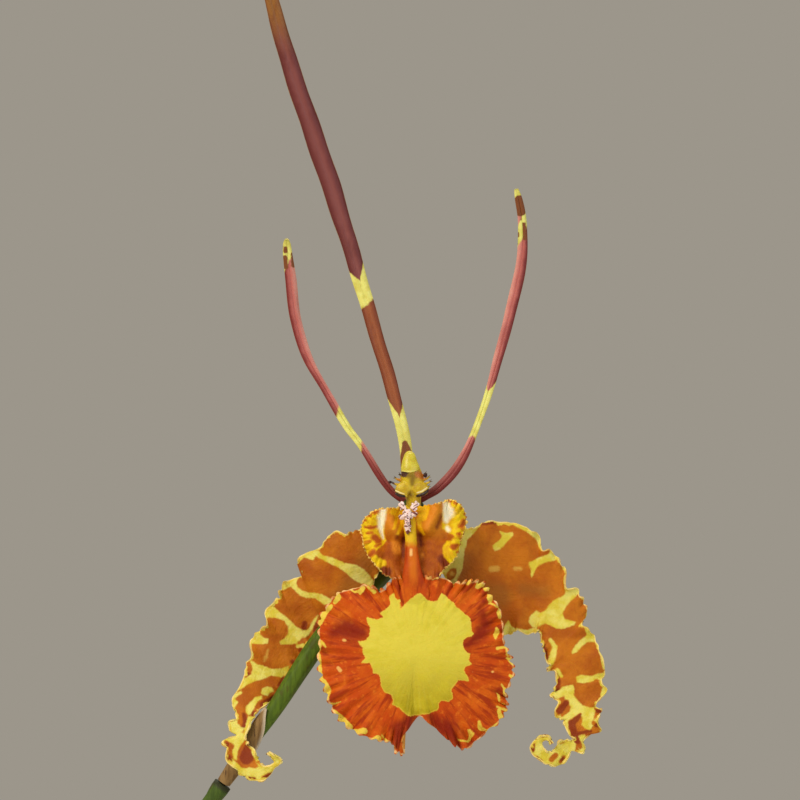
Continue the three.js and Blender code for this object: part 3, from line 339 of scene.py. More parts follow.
class Paint:
    """A material built node by node around one Principled shader; places are in millimetres."""

    def __init__(self, name, roughness, specular, coat=0.0, glow=0.0):
        self.material = bpy.data.materials.new(name)
        self.material.use_nodes = True
        self.tree = self.material.node_tree
        self.shader = self.tree.nodes["Principled BSDF"]
        self.set("Roughness", roughness)
        self.set("Specular IOR Level", specular)
        self.set("Coat Weight", coat)
        if glow:
            self.set("Subsurface Weight", glow)
            self.set("Subsurface Scale", 0.8 * MM)
            self.set("Subsurface Radius", (1.0, 0.5, 0.2))
        texture = self.tree.nodes.new("ShaderNodeTexCoord")
        self.place = self.vector("SCALE", texture.outputs["Object"], scale=1 / MM)

    def set(self, socket, value):
        self.shader.inputs[socket].default_value = value

    def join(self, value, socket):
        if isinstance(value, bpy.types.NodeSocket):
            self.tree.links.new(value, socket)
        elif isinstance(value, str):
            socket.default_value = linear(value)
        else:
            socket.default_value = value

    def vector(self, kind, a, b=None, scale=None):
        node = self.tree.nodes.new("ShaderNodeVectorMath")
        node.operation = kind
        self.join(a, node.inputs[0])
        if b is not None:
            self.join(b, node.inputs[1])
        if scale is not None:
            self.join(scale, node.inputs["Scale"])
        return node.outputs[0]

    def math(self, kind, a, b):
        node = self.tree.nodes.new("ShaderNodeMath")
        node.operation = kind
        self.join(a, node.inputs[0])
        self.join(b, node.inputs[1])
        return node.outputs[0]

    def times(self, a, b):
        return self.math("MULTIPLY", a, b)

    def field(self, name):
        """A field that a mesh carries from point to point."""
        node = self.tree.nodes.new("ShaderNodeAttribute")
        node.attribute_name = name
        return node.outputs["Fac"]

    def noise(self, size, detail, stretch=(1, 1, 1), roughness=0.55, at=None):
        """Noise about 0.5 whose features are `size` millimetres across."""
        node = self.tree.nodes.new("ShaderNodeTexNoise")
        self.join(self.vector("MULTIPLY", at or self.place, Vector(stretch)), node.inputs["Vector"])
        node.inputs["Scale"].default_value = 1 / size
        node.inputs["Detail"].default_value = detail
        node.inputs["Roughness"].default_value = roughness
        return node.outputs["Fac"]

    def cells(self, size, stretch=(1, 1, 1)):
        """How far a place lies from the nearest of scattered points, in steps of `size` millimetres."""
        node = self.tree.nodes.new("ShaderNodeTexVoronoi")
        self.join(self.vector("MULTIPLY", self.place, Vector(stretch)), node.inputs["Vector"])
        node.inputs["Scale"].default_value = 1 / size
        return node.outputs["Distance"]

    def step(self, value, low, high, to=(0.0, 1.0)):
        """A soft step over a value, from `low` to `high`."""
        node = self.tree.nodes.new("ShaderNodeMapRange")
        node.interpolation_type = "SMOOTHSTEP"
        self.join(value, node.inputs["Value"])
        node.inputs["From Min"].default_value = low
        node.inputs["From Max"].default_value = high
        node.inputs["To Min"].default_value, node.inputs["To Max"].default_value = to
        return node.outputs["Result"]

    def mix(self, share, a, b):
        """The first colour where the share is 0 and the second where it is 1."""
        node = self.tree.nodes.new("ShaderNodeMix")
        node.data_type = "RGBA"
        self.join(share, node.inputs["Factor"])
        self.join(a, node.inputs[6])
        self.join(b, node.inputs[7])
        return node.outputs[2]

    def wobbled(self, value, amount, size, detail=3.0):
        """A value moved up and down by noise, so that its edge wanders."""
        swing = self.times(self.math("SUBTRACT", self.noise(size, detail), 0.5), 2 * amount)
        return self.math("ADD", value, swing)

    def mark(self, name, amount, size, low, high):
        """A soft step over a field whose edge wanders."""
        return self.step(self.wobbled(self.field(name), amount, size), low, high)

    def mottled(self, size, detail, low, high, a, b):
        """Two colours in soft patches of about `size` millimetres."""
        return self.mix(self.step(self.noise(size, detail), low, high), a, b)

    def over(self, base, colour, share, strength):
        """A colour laid over a base by a share of some strength."""
        return self.mix(self.times(share, strength), base, colour)

    def colour(self, value):
        self.join(value, self.shader.inputs["Base Color"])

    def roughness(self, value):
        self.join(value, self.shader.inputs["Roughness"])

    def bump(self, height, depth=1.0):
        """Height in millimetres."""
        node = self.tree.nodes.new("ShaderNodeBump")
        node.inputs["Strength"].default_value = depth
        node.inputs["Distance"].default_value = MM
        self.join(height, node.inputs["Height"])
        self.join(node.outputs["Normal"], self.shader.inputs["Normal"])


# Pieces
def link(name, data):
    """An object in the scene that holds some data."""
    obj = bpy.data.objects.new(name, data)
    bpy.context.scene.collection.objects.link(obj)
    return obj


def add_field(mesh, name, values):
    layer = mesh.attributes.new(name, "FLOAT", "POINT")
    layer.data.foreach_set("value", np.asarray(values, np.float32).ravel())


def add_piece(name, shape, paint, nodes, offset=(0, 0, 0), fields=None):
    """A piece of the scene made from a shape, with the solids that it replaces."""
    verts, faces = shape
    mesh = bpy.data.meshes.new(name)
    mesh.from_pydata(((verts + np.asarray(offset)) * MM).tolist(), [], faces)
    for field, values in (fields or {}).items():
        add_field(mesh, field, values)
    mesh.polygons.foreach_set("use_smooth", [True] * len(mesh.polygons))
    mesh.materials.append(paint.material)
    obj = link(name, mesh)
    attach(obj, "root")
    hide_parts(*nodes)
    return obj


def joined(shapes):
    """Several shapes as one, and for each of its points the number of the shape it came from."""
    verts, faces, owner, start = [], [], [], 0
    for number, (points, polygons) in enumerate(shapes):
        verts.append(points)
        faces += [[a + start for a in polygon] for polygon in polygons]
        owner.append(np.full(len(points), number))
        start += len(points)
    return (np.concatenate(verts), faces), np.concatenate(owner)


def fused(shapes, voxel, rounds):
    """Several closed shapes melted into one smooth skin."""
    (verts, faces), _ = joined(shapes)
    mesh = bpy.data.meshes.new("melt")
    mesh.from_pydata(verts.tolist(), [], faces)
    obj = link("melt", mesh)
    remesh = obj.modifiers.new("melt", "REMESH")
    remesh.mode = "VOXEL"
    remesh.voxel_size = voxel
    soften = obj.modifiers.new("soften", "SMOOTH")
    soften.factor = 0.5
    soften.iterations = rounds
    made = obj.evaluated_get(bpy.context.evaluated_depsgraph_get()).to_mesh()
    points = np.empty(len(made.vertices) * 3, np.float32)
    made.vertices.foreach_get("co", points)
    polygons = [list(polygon.vertices) for polygon in made.polygons]
    bpy.data.objects.remove(obj)
    bpy.data.meshes.remove(mesh)
    return points.reshape(-1, 3).astype(float), polygons


def ball(at, radii, turn=(0, 0, 0), detail=(24, 16)):
    """A closed ball with three radii; `detail` counts its sides and rings."""
    sides, rings = detail
    up = np.linspace(0.02, math.pi - 0.02, rings + 1)[:, None]
    round_ = TAU * np.arange(sides)[None, :] / sides
    x, y = np.sin(up) * np.cos(round_), np.sin(up) * np.sin(round_)
    points = np.stack([x, y, np.cos(up) + 0 * round_], -1)
    points = points * np.asarray(radii) @ np.array(Euler(turn).to_matrix()).T + np.asarray(at)
    return closed_rings(points)


# Camera, light and floor
IMAGE_WIDTH = 160.0  # millimetres across the picture, at the flower
IMAGE_MIDDLE = 400  # the picture's middle pixel, across and down
CAMERA_DISTANCE = 1200.0
CAMERA_RANGE = (0.05, 20)  # metres
SENSOR = 36.0
BACKDROP = "9C968B"
LIGHT_AIM = 0.42  # the height in metres that the lights look at
LIGHTS = {  # place and size in metres, power in watts, colour
    "key": ((-0.75, -1.25, 1.5), 0.9, 26, "FFF6EA"),
    "fill": ((1.4, -1.3, 0.8), 1.2, 9, "EEF3FF"),
    "top": ((0.3, 0.5, 1.9), 1.2, 12, "FFFFFF"),
}
FLOOR = {"radius": 1.6, "shift": 0.1, "sides": 96}  # metres


def add_camera():
    away = (IMAGE_MIDDLE - PICTURE_MIDDLE) * PICTURE_SCALE
    data = bpy.data.cameras.new("camera")
    data.sensor_width = SENSOR
    data.lens = SENSOR * CAMERA_DISTANCE / IMAGE_WIDTH
    data.clip_start, data.clip_end = CAMERA_RANGE
    camera = link("camera", data)
    camera.location = (FLOWER_AT + [away[0], -CAMERA_DISTANCE, -away[1]]) * MM
    camera.rotation_euler = (math.pi / 2, 0, 0)
    bpy.context.scene.camera = camera


def add_light(name, place, size, power, colour):
    light = bpy.data.lights.new(name, "AREA")
    light.shape = "SQUARE"
    light.size = size
    light.energy = power
    light.color = linear(colour)[:3]
    obj = link(name, light)
    obj.location = Vector(place)
    target = Vector((FLOWER_AT * MM).tolist())
    target.z = LIGHT_AIM
    obj.rotation_euler = (target - obj.location).to_track_quat("-Z", "Y").to_euler()


def add_floor():
    paint = Paint("floor_plaster", roughness=0.85, specular=0.2)
    paint.colour(paint.mix(paint.noise(60, 4), "D8D3CA", "DEDAD2"))
    paint.bump(paint.noise(1.5, 4), 0.15)
    turn = TAU * np.arange(FLOOR["sides"]) / FLOOR["sides"]
    radius = FLOOR["radius"]
    verts = np.stack([radius * np.cos(turn) + FLOOR["shift"], radius * np.sin(turn), 0 * turn], -1)
    mesh = bpy.data.meshes.new("floor")
    mesh.from_pydata(verts.tolist(), [], [list(range(FLOOR["sides"]))])
    mesh.materials.append(paint.material)
    link("floor", mesh)


def set_stage():
    scene = bpy.context.scene
    add_camera()
    world = bpy.data.worlds.new("room")
    world.use_nodes = True
    background = world.node_tree.nodes["Background"]
    background.inputs["Color"].default_value = linear(BACKDROP)
    background.inputs["Strength"].default_value = 1.0
    scene.world = world
    scene.view_settings.view_transform = "Standard"
    for name, light in LIGHTS.items():
        add_light(name, *light)
    add_floor()


set_stage()

# Pot
POT = {"height": 95, "foot": 37, "mouth": 50, "rim": 54, "rim_height": 21, "wall": 5, "floor": 6}
POT_EDGE = (1.7, 5)  # the radius of its rounded edges and the points on each
POT_STEP = 3  # millimetres between the rings of its wall
POT_SIDES = 160
DRAIN = {"count": 4, "radius": 4.5, "circle": 21, "deep": 9, "sides": 32}


def mouth_wall(z):
    """Radius of the pot's inner wall at a height."""
    return POT["foot"] + (POT["mouth"] - POT["foot"]) * z / POT["height"] - POT["wall"]


def rounded(profile, radius, steps):
    """A profile with its corners cut by small arcs."""
    made = [np.asarray(profile[0], float)]
    for a, b, c in zip(profile[:-2], profile[1:-1], profile[2:]):
        a, b, c = (np.asarray(p, float) for p in (a, b, c))
        cut = min(radius, np.linalg.norm(a - b) / 2.2, np.linalg.norm(c - b) / 2.2)
        start, end = b + unit(a - b) * cut, b + unit(c - b) * cut
        for k in np.linspace(0, 1, steps):
            made.append((1 - k) ** 2 * start + 2 * k * (1 - k) * b + k * k * end)
    return np.array([*made, np.asarray(profile[-1], float)])


def clay_paint():
    clay = Paint("terracotta", roughness=0.86, specular=0.25)
    cloud = clay.noise(22, 5)
    base = clay.mix(clay.step(cloud, 0.35, 0.68), "A9603B", "BC7148")
    grain = clay.noise(0.6, 3)
    base = clay.mix(clay.step(grain, 0.62, 0.75), base, "D69A72")
    base = clay.mottled(0.9, 2, 0.68, 0.78, base, "7C4229")
    lower = clay.step(clay.field("height"), 70, 8)
    bloom = clay.times(clay.step(clay.noise(14, 6), 0.52, 0.72), lower)
    base = clay.over(base, "D9C3AE", bloom, 0.55)
    damp = clay.mark("height", 5, 12, 10, 1)
    base = clay.over(base, "6E4029", damp, 0.45)
    clay.colour(base)
    clay.roughness(clay.step(cloud, 0.3, 0.7, (0.78, 0.93)))
    rings = clay.noise(1.4, 3, (0.02, 0.02, 1))
    relief = clay.math("ADD", clay.times(rings, 0.22), clay.times(grain, 0.1))
    clay.bump(relief)
    return clay


def make_pot():
    rim_foot = POT["height"] - POT["rim_height"]
    outer = mouth_wall(rim_foot) + POT["wall"]
    profile = [
        (0.01, 0), (POT["foot"] - 0.2, 0), (outer, rim_foot - 0.2),
        (POT["rim"] - 0.5, rim_foot + 0.6), (POT["rim"], POT["height"]),
        (mouth_wall(POT["height"]), POT["height"]),
        (mouth_wall(POT["floor"]), POT["floor"]), (0.01, POT["floor"]),
    ]
    line = rounded(profile, *POT_EDGE)
    dense = [line[0]]
    for a, b in zip(line[:-1], line[1:]):
        count = max(1, int(np.linalg.norm(b - a) / POT_STEP))
        dense += [a + (b - a) * (k + 1) / count for k in range(count)]
    line = np.array(dense)
    turn = TAU * np.arange(POT_SIDES) / POT_SIDES
    wobble = 1 + 0.0022 * np.sin(2 * turn + 0.7) + 0.0012 * np.sin(5 * turn)
    radius = line[:, 0:1] * wobble
    points = np.stack([radius * np.cos(turn), radius * np.sin(turn), line[:, 1:2] + 0 * turn], -1)
    verts, faces = closed_rings(points)
    pot = add_piece("clay_pot", (verts, faces), clay_paint(), ["pot"])
    cutters = []
    for i in range(DRAIN["count"]):
        a = TAU * (i + 0.5) / DRAIN["count"]
        at = np.array([DRAIN["circle"] * math.cos(a), DRAIN["circle"] * math.sin(a), 0])
        heights = (-DRAIN["deep"], 0, DRAIN["deep"])
        column = [[*(at + [0, 0, z]), DRAIN["radius"], DRAIN["radius"]] for z in heights]
        cutters.append(tube(column, 2, DRAIN["sides"], flat=(1, 0, 0)))
    (verts, faces), _ = joined(cutters)
    mesh = bpy.data.meshes.new("drill")
    mesh.from_pydata((verts * MM).tolist(), [], faces)
    drill = link("drill", mesh)
    cut = pot.modifiers.new("drain", "BOOLEAN")
    cut.operation, cut.solver, cut.object = "DIFFERENCE", "EXACT", drill
    made = bpy.data.meshes.new_from_object(pot.evaluated_get(bpy.context.evaluated_depsgraph_get()))
    pot.modifiers.clear()
    pot.data = made
    bpy.data.objects.remove(drill)
    add_field(made, "height", np.array([v.co.z for v in made.vertices]) / MM)


make_pot()

# Pseudobulbs
ROW_ANGLE = -0.42
BULBS = [
    {"at": (-27, 13), "height": 36, "width": 27, "thick": 14, "lean": -0.14},
    {"at": (-11, 5), "height": 40, "width": 30, "thick": 15, "lean": -0.05},
    {"at": (6, -2), "height": 42, "width": 31, "thick": 15.5, "lean": 0.04},
    {"at": (22, -9), "height": 39, "width": 29, "thick": 15.5, "lean": 0.12},
]
BULB_FOOT = 81.0
BULB_GRID = (61, 96)  # rings and sides


def bulb_point(bulb, up, turn, by=0.0):
    """Points of a pseudobulb: `up` runs from foot to crown, `turn` is in radians, and `by` grows it."""
    belly = np.sin(math.pi * (0.1 + 0.86 * up**0.85)) ** 0.72
    ridges = 1 + 0.05 * np.cos(turn * 6) * np.sin(math.pi * up)
    wide = bulb["width"] / 2 * belly * ridges + by
    deep = bulb["thick"] / 2 * belly * ridges + by
    z = up * bulb["height"] + 0 * turn
    x, y = deep * np.cos(turn) + bulb["lean"] * z, wide * np.sin(turn)
    c, s = math.cos(ROW_ANGLE), math.sin(ROW_ANGLE)
    turned = [bulb["at"][0] + c * x - s * y, bulb["at"][1] + s * x + c * y]
    return np.stack([*turned, BULB_FOOT + z + by * (2 * up - 1)], -1)


def bulb_paint():
    paint = Paint("pseudobulb_skin", roughness=0.42, specular=0.45, coat=0.08)
    streak = paint.noise(1.3, 4, (1, 1, 0.16))
    base = paint.mottled(9, 4, 0.38, 0.66, "58612C", "6F7434")
    base = paint.mix(paint.step(streak, 0.5, 0.75), base, "47431F")
    crown = paint.mark("up", 0.12, 6, 0.55, 0.98)
    base = paint.over(base, "5A3328", crown, 0.6)
    foot = paint.mark("up", 0.08, 4, 0.2, 0.02)
    base = paint.over(base, "6B5A33", foot, 0.8)
    speck = paint.step(paint.cells(1.5), 0.24, 0.12)
    base = paint.over(base, "4A2A20", speck, paint.step(paint.noise(5, 2), 0.5, 0.62))
    paint.colour(base)
    paint.roughness(paint.step(streak, 0.3, 0.7, (0.34, 0.52)))
    paint.bump(paint.times(streak, 0.25))
    return paint


def make_bulbs():
    paint = bulb_paint()
    for number, bulb in enumerate(BULBS, 1):
        up = np.linspace(0, 1, BULB_GRID[0])[:, None]
        turn = TAU * np.arange(BULB_GRID[1])[None, :] / BULB_GRID[1]
        points = bulb_point(bulb, up, turn)
        middle = points.mean(1, keepdims=True)
        way = points - middle
        wrinkle = 0.018 * np.sin(turn * 17 + 3 * up + number) * np.sin(math.pi * up) ** 0.5
        wrinkle = wrinkle + 0.02 * wavy(points, 9, 20 + number)
        shape = closed_rings(points + way * wrinkle[..., None])
        fields = {"up": np.r_[(up + 0 * turn).ravel(), 0, 1]}
        add_piece(f"bulb_{number}", shape, paint, [f"pseudobulb_{number}"], fields=fields)


make_bulbs()


# Dry sheaths round the feet of the pseudobulbs
def dry_paint(name, light, dark, streak_way, alive=None):
    paint = Paint(name, roughness=0.82, specular=0.25)
    streak = paint.noise(0.35, 4, streak_way)
    broad = paint.noise(1.6, 3, streak_way)
    base = paint.mix(paint.step(broad, 0.35, 0.65), light, dark)
    base = paint.mix(paint.step(streak, 0.58, 0.72), base, "4A3220")
    edge = paint.step(paint.field("edge"), 0.9, 0.1)
    base = paint.over(base, "D8CCB4", edge, 0.6)
    if alive:
        base = paint.mix(paint.mark("share", 0.12, 2, 0.45, 0.1), base, alive)
    paint.colour(base)
    paint.bump(paint.times(streak, 0.14))
    return paint


SHEATH_TURN = 0.5  # the middle of a sheath, in the pseudobulb's own turn
SHEATH_SPREAD = 1.32
SHEATH_FOOT = 4.7
SHEATH_THICKNESS = 0.35
SHEATH_GRID = (33, 121)  # points up and across
SHEATH_TOPS = [[8.5], [12], [14.5], [16], [19], [22.5], [18], [15], [13.5], [11], [9.5]]


def make_sheaths():
    paint = dry_paint("papery_sheath", "B39A72", "927550", (1, 1, 0.07))
    for number, bulb in enumerate(BULBS, 1):
        rise = np.linspace(0, 1, SHEATH_GRID[0])[:, None]
        across = np.linspace(-1, 1, SHEATH_GRID[1])[None, :]
        turn = SHEATH_TURN + SHEATH_SPREAD * across
        top = rows_at(SHEATH_TOPS, (across[0] + 1) / 2 * (len(SHEATH_TOPS) - 1))[:, 0][None, :]
        torn = 0.55 * np.sin(across * 61 + number) + 0.35 * np.sin(across * 143 + 2 * number)
        z = SHEATH_FOOT + (top + torn * 0.9 - SHEATH_FOOT) * rise
        by = SEAT_GAP + 0.4 + 0.28 * np.sin(across * 9 + number) * rise
        by = by + 0.5 * rise**3 * (0.4 + 0.6 * across**2)
        points = bulb_point(bulb, z / bulb["height"], turn)
        outward = unit(bulb_point(bulb, z / bulb["height"], turn, 1) - points)
        points = points + outward * by[..., None]
        shape = sheet(points, SHEATH_THICKNESS, (1, 0, 0))
        margin = np.minimum((1 - rise) * (top - SHEATH_FOOT), (1 - np.abs(across)) * 14)
        fields = {"edge": doubled(margin + 0 * z), "share": doubled(rise + 0 * z)}
        add_piece(f"sheath_{number}", shape, paint, [f"bulb_sheath_{number}"], fields=fields)


make_sheaths()

# Rhizome and roots
RHIZOME = [
    (-33, 15.6, 80, 3), (-27, 13, 80.6, 4), (-11, 5, 80.8, 4.2), (6, -2, 80.8, 4.2), (22, -9, 80.6, 4),
    (30, -12.4, 80, 3),
]
ROOTS = [
    [(-24, 11, 80, 1.5), (-20, -2, 85.5, 1.5), (-18, -14, 87, 1.4), (-20, -24, 85.5, 1.4),
     (-23, -30, 78, 1.1)],
    [(3, -1, 80, 1.6), (-2, -14, 86, 1.5), (-1, -25, 87.3, 1.5), (5, -32, 85, 1.3), (8, -36, 78, 1.1)],
    [(-12, 6, 80, 1.5), (-6, 17, 86, 1.5), (-9, 28, 86.5, 1.4), (-14, 33, 83, 1.2), (-17, 34, 77, 1.0)],
    [(18, -7, 80, 1.5), (21, 6, 86, 1.5), (26, 17, 86.5, 1.4), (24, 26, 84, 1.3), (20, 31, 77, 1.0)],
    [(-30, 14, 80, 1.4), (-36, 6, 84.5, 1.3), (-38, -4, 85, 1.3), (-35, -12, 78, 1.0)],
    [(26, -11, 80, 1.4), (22, -22, 85.5, 1.4), (21, -28, 85, 1.3), (24, -31, 77, 1.0)],
]
RHIZOME_GRID = (60, 20)  # steps along and sides
ROOT_GRID = (60, 14)


def make_roots():
    paint = Paint("root_velamen", roughness=0.75, specular=0.3)
    base = paint.mottled(2.2, 4, 0.35, 0.65, "B9B59A", "A09C7C")
    base = paint.mottled(0.8, 3, 0.6, 0.72, base, "7F7450")
    base = paint.mottled(6, 2, 0.55, 0.7, base, "8B9560")
    paint.colour(base)
    paint.bump(paint.times(paint.noise(0.5, 4), 0.16))
    rings = lambda s, t: 1 + 0.05 * np.sin(s * 2.1) + 0 * t
    shapes = [tube([(*p, p[3]) for p in RHIZOME], *RHIZOME_GRID, swell=rings)]
    for number, root in enumerate(ROOTS):
        swell = lambda s, t, n=number: 1 + 0.06 * np.sin(s * 0.8 + n) + 0.05 * np.sin(2 * t + 0.4 * s)
        shapes.append(tube([(*p, p[3]) for p in root], *ROOT_GRID, (0.6, 0.8, 0.05), swell))
    shape, _ = joined(shapes)
    add_piece("roots", shape, paint, ["rhizome_and_roots"])


make_roots()

# Bark
BARK_LEVEL = 79.0
BARK_CHIPS = 190
PLUG_GRID = (16, 72)  # steps up and sides of the fill under the chips
CHIP_GRID = 7  # points along each edge of a chip
CHIP_POWER = 5  # a higher power makes a chip's edges sharper
CHIP_SIZES = ((7, 15), (5, 9), (2.8, 4.8))
SUNFLOWER_TURN = 2.399963  # radians from one chip to the next, so that they spread evenly


def bark_chip(rng, size, at, turn):
    """A rough chip: a cube's surface pulled to a rounded block, split unevenly along its grain."""
    n = CHIP_GRID
    u, v = np.meshgrid(np.linspace(-1, 1, n), np.linspace(-1, 1, n), indexing="ij")
    sides, faces = [], []
    for axis in range(3):
        for sign in (-1, 1):
            block = np.zeros((n, n, 3))
            block[..., axis] = sign
            block[..., (axis + 1) % 3] = u if sign > 0 else v
            block[..., (axis + 2) % 3] = v if sign > 0 else u
            start = len(sides) * n * n
            faces += [[a + start for a in face] for face in grid_faces(n, n)]
            sides.append(block.reshape(-1, 3))
    points = np.concatenate(sides)
    points = points / (np.abs(points) ** CHIP_POWER).sum(1, keepdims=True) ** (1 / CHIP_POWER)
    seed = int(rng.integers(1, 10**6))
    points = points * (1 + 0.16 * wavy(points, 1.6, seed)[:, None])
    points[:, 2] += 0.16 * np.sign(points[:, 2]) * wavy(points[:, :2] * [0.6, 3], 0.9, seed + 1)
    return points * np.asarray(size) / 2 @ np.array(Euler(turn).to_matrix()).T + at, faces


def make_bark():
    rng = np.random.default_rng(7)
    paint = Paint("pine_bark", roughness=0.93, specular=0.15)
    tone = paint.field("tone")
    base = paint.mix(paint.step(tone, 0, 1), "4A2E1E", "7B5236")
    base = paint.mottled(1.1, 4, 0.45, 0.7, base, "2F1D13")
    base = paint.mottled(2.6, 3, 0.6, 0.74, base, "8F6F4F")
    paint.colour(base)
    paint.bump(paint.times(paint.noise(0.7, 5), 0.5))
    limit = mouth_wall(BARK_LEVEL) - 1
    shapes = []
    fill = POT["floor"] + SEAT_GAP
    plug = [(0, 0, z, *[mouth_wall(z) - SEAT_GAP] * 2) for z in (fill, 40, BARK_LEVEL - 2.5)]
    shapes.append(tube(plug, *PLUG_GRID, flat=(1, 0, 0)))
    for i in range(BARK_CHIPS):
        size = np.array([rng.uniform(*ends) for ends in CHIP_SIZES])
        out = (limit - 3.5) * math.sqrt((i + 0.5) / BARK_CHIPS)
        turn = i * SUNFLOWER_TURN + rng.uniform(-0.2, 0.2)
        at = np.array([out * math.cos(turn), out * math.sin(turn), BARK_LEVEL + rng.uniform(-1.6, 1.9)])
        tilt = (rng.uniform(-0.3, 0.3), rng.uniform(-0.3, 0.3), rng.uniform(0, TAU))
        chip = bark_chip(rng, size, at, tilt)
        over = np.maximum(np.hypot(chip[0][:, 0], chip[0][:, 1]) / limit, 1)
        chip[0][:, :2] /= over[:, None]
        shapes.append(chip)
    shape, owner = joined(shapes)
    tones = rng.uniform(0, 1, len(shapes))
    add_piece("bark", shape, paint, ["potting_bark"], fields={"tone": tones[owner]})


make_bark()

# Leaves
LEAVES = [
    {"lean": (-0.98, 0.2), "reach": 92, "rise": 104, "half": 22, "arch": 20},
    {"lean": (-0.5, 0.86), "reach": 62, "rise": 138, "half": 26, "arch": 14},
    {"lean": (-0.36, -0.93), "reach": 66, "rise": 132, "half": 27, "arch": 18},
    {"lean": (0.32, 0.95), "reach": 58, "rise": 142, "half": 25, "arch": 14},
]
LEAF_GRID = (120, 54)  # steps along and across
LEAF_WAVE = {"length": 58, "height": 1.3, "sway": 0.8, "bow": 0.5, "crease": 0.7, "crease_half": 1.1}
LEAF_RIB = {"height": 0.9, "half": 2.0}
LEAF_SHAPE = [
    (0, 0.1, 1.15), (0.06, 0.13, 1.1), (0.16, 0.34, 0.7), (0.3, 0.72, 0.42), (0.46, 0.97, 0.3),
    (0.6, 1, 0.26), (0.74, 0.88, 0.24), (0.87, 0.58, 0.22), (0.95, 0.3, 0.2), (1, 0.05, 0.15),
]


def leaf_paint():
    paint = Paint("leaf_leather", roughness=0.4, specular=0.45, coat=0.06)
    base = paint.mottled(16, 4, 0.35, 0.65, "4B5F2E", "5D7038")
    fine = paint.noise(1.2, 3)
    broad = paint.step(paint.wobbled(paint.cells(8.5), 0.5, 3.2), 0.46, 0.36)
    small = paint.step(paint.wobbled(paint.cells(3.2), 0.34, 1.6), 0.3, 0.2)
    where = paint.step(paint.noise(16, 3), 0.34, 0.5, (0.25, 1))
    marks = paint.times(paint.math("MAXIMUM", broad, small), where)
    base = paint.over(base, "552A20", marks, 0.85)
    base = paint.over(base, "7A8550", paint.step(fine, 0.6, 0.8), 0.5)
    rib = paint.step(paint.field("middle"), 1.6, 0.2)
    base = paint.over(base, "84905A", rib, 0.45)
    edge = paint.step(paint.field("edge"), 1.4, 0.2)
    base = paint.over(base, "6B332B", edge, 0.75)
    below = paint.mottled(7, 4, 0.38, 0.56, "66703E", "6A3A32")
    base = paint.mix(paint.field("under"), base, below)
    paint.colour(base)
    paint.roughness(paint.step(fine, 0.3, 0.7, (0.34, 0.48)))
    pores = paint.times(paint.noise(0.5, 3), 0.07)
    swell = paint.times(paint.noise(5, 3), 0.5)
    paint.bump(paint.math("ADD", pores, swell))
    return paint


def leaf_stations(bulb, leaf):
    top = np.array(1.0)
    crown = (bulb_point(bulb, top, np.array(0.0)) + bulb_point(bulb, top, np.array(math.pi))) / 2
    foot = crown + [0, 0, SEAT_GAP - 3]
    out = unit(np.array([*leaf["lean"], 0.0]))

    def at(k):
        rise = leaf["rise"] * k - leaf["arch"] * k**3
        return foot + out * leaf["reach"] * (0.62 * k + 0.38 * k * k) + [0, 0, rise]

    rows = []
    for k, width, fold in LEAF_SHAPE:
        tangent = unit(at(k + 0.01) - at(max(k - 0.01, 0)))
        face = unit(np.array([0, 0, 1.0]) - tangent * tangent[2])
        rows.append([*at(k), *face, leaf["half"] * width, -fold])
    return rows


def leaf_wave(s, share, v, w):
    edge = np.abs(v) ** MARGIN_POWER * np.minimum(1, share / 0.3) * np.minimum(1, (1.02 - share) / 0.08)
    wave = LEAF_WAVE
    phase = TAU * s / wave["length"] + np.where(v > 0, 0, MARGINS_APART)
    crease = -wave["crease"] * np.exp(-((v * w / wave["crease_half"]) ** 2))
    crease = crease * np.minimum(1, (1.02 - share) / 0.3)
    lift = wave["height"] * edge * np.sin(phase) + wave["bow"] * np.sin(s / 17) * (1 - np.abs(v)) + crease
    return lift, wave["sway"] * edge * np.sign(v) * np.cos(phase * 1.31) * np.minimum(1, w / 3)


def make_leaves():
    paint = leaf_paint()
    for number, (bulb, leaf) in enumerate(zip(BULBS, LEAVES), 1):
        points, _, share, v, w = blade(leaf_stations(bulb, leaf), *LEAF_GRID, leaf_wave)
        rib = LEAF_RIB["height"] * np.exp(-((v * w / LEAF_RIB["half"]) ** 2)) * (1 - share)
        taper = LEAF_THICKNESS * (1 - 0.62 * np.abs(v) ** 3) + rib
        towards = -np.array([*leaf["lean"], -1.0])
        shape = sheet(points, taper, towards)
        fields = both_sides({"middle": np.abs(v * w), "edge": (1 - np.abs(v)) * w})
        add_piece(f"leaf_blade_{number}", shape, paint, [f"leaf_{number}"], fields=fields)


make_leaves()

# Flower stem
NODE = NODE_IN_FLOWER + FLOWER_AT
STEM = [
    (36, -13, 78, 2.3, 2.1), (36.6, -13, 110, 2.25, 2.0), (39.5, -14, 160, 2.1, 1.85),
    (47, -16, 225, 2.0, 1.75), (60, -19.5, 290, 1.9, 1.65), (80, -24, 355, 1.8, 1.5),
    (108, -29, 415, 1.7, 1.4), (133, -33, 456.5, 1.6, 1.35), (*NODE, 1.55, 1.4),
]
STEM_NODES = (0.24, 0.5, 0.76)  # shares of its length
STEM_NODE = {"swell": 0.26, "half": 0.9, "top": 0.2}  # its ring's swelling and half length, and the top's
STEM_GRID = (360, 26)  # steps along and sides
STEM_PARTS = 100
stem_rows, stem_lengths = even_rows(STEM, STEM_PARTS)


def stem_at(share):
    return stem_rows[round(share * STEM_PARTS), :3]


def stem_way(share):
    return unit(stem_at(min(share + 0.01, 1)) - stem_at(share - 0.01))


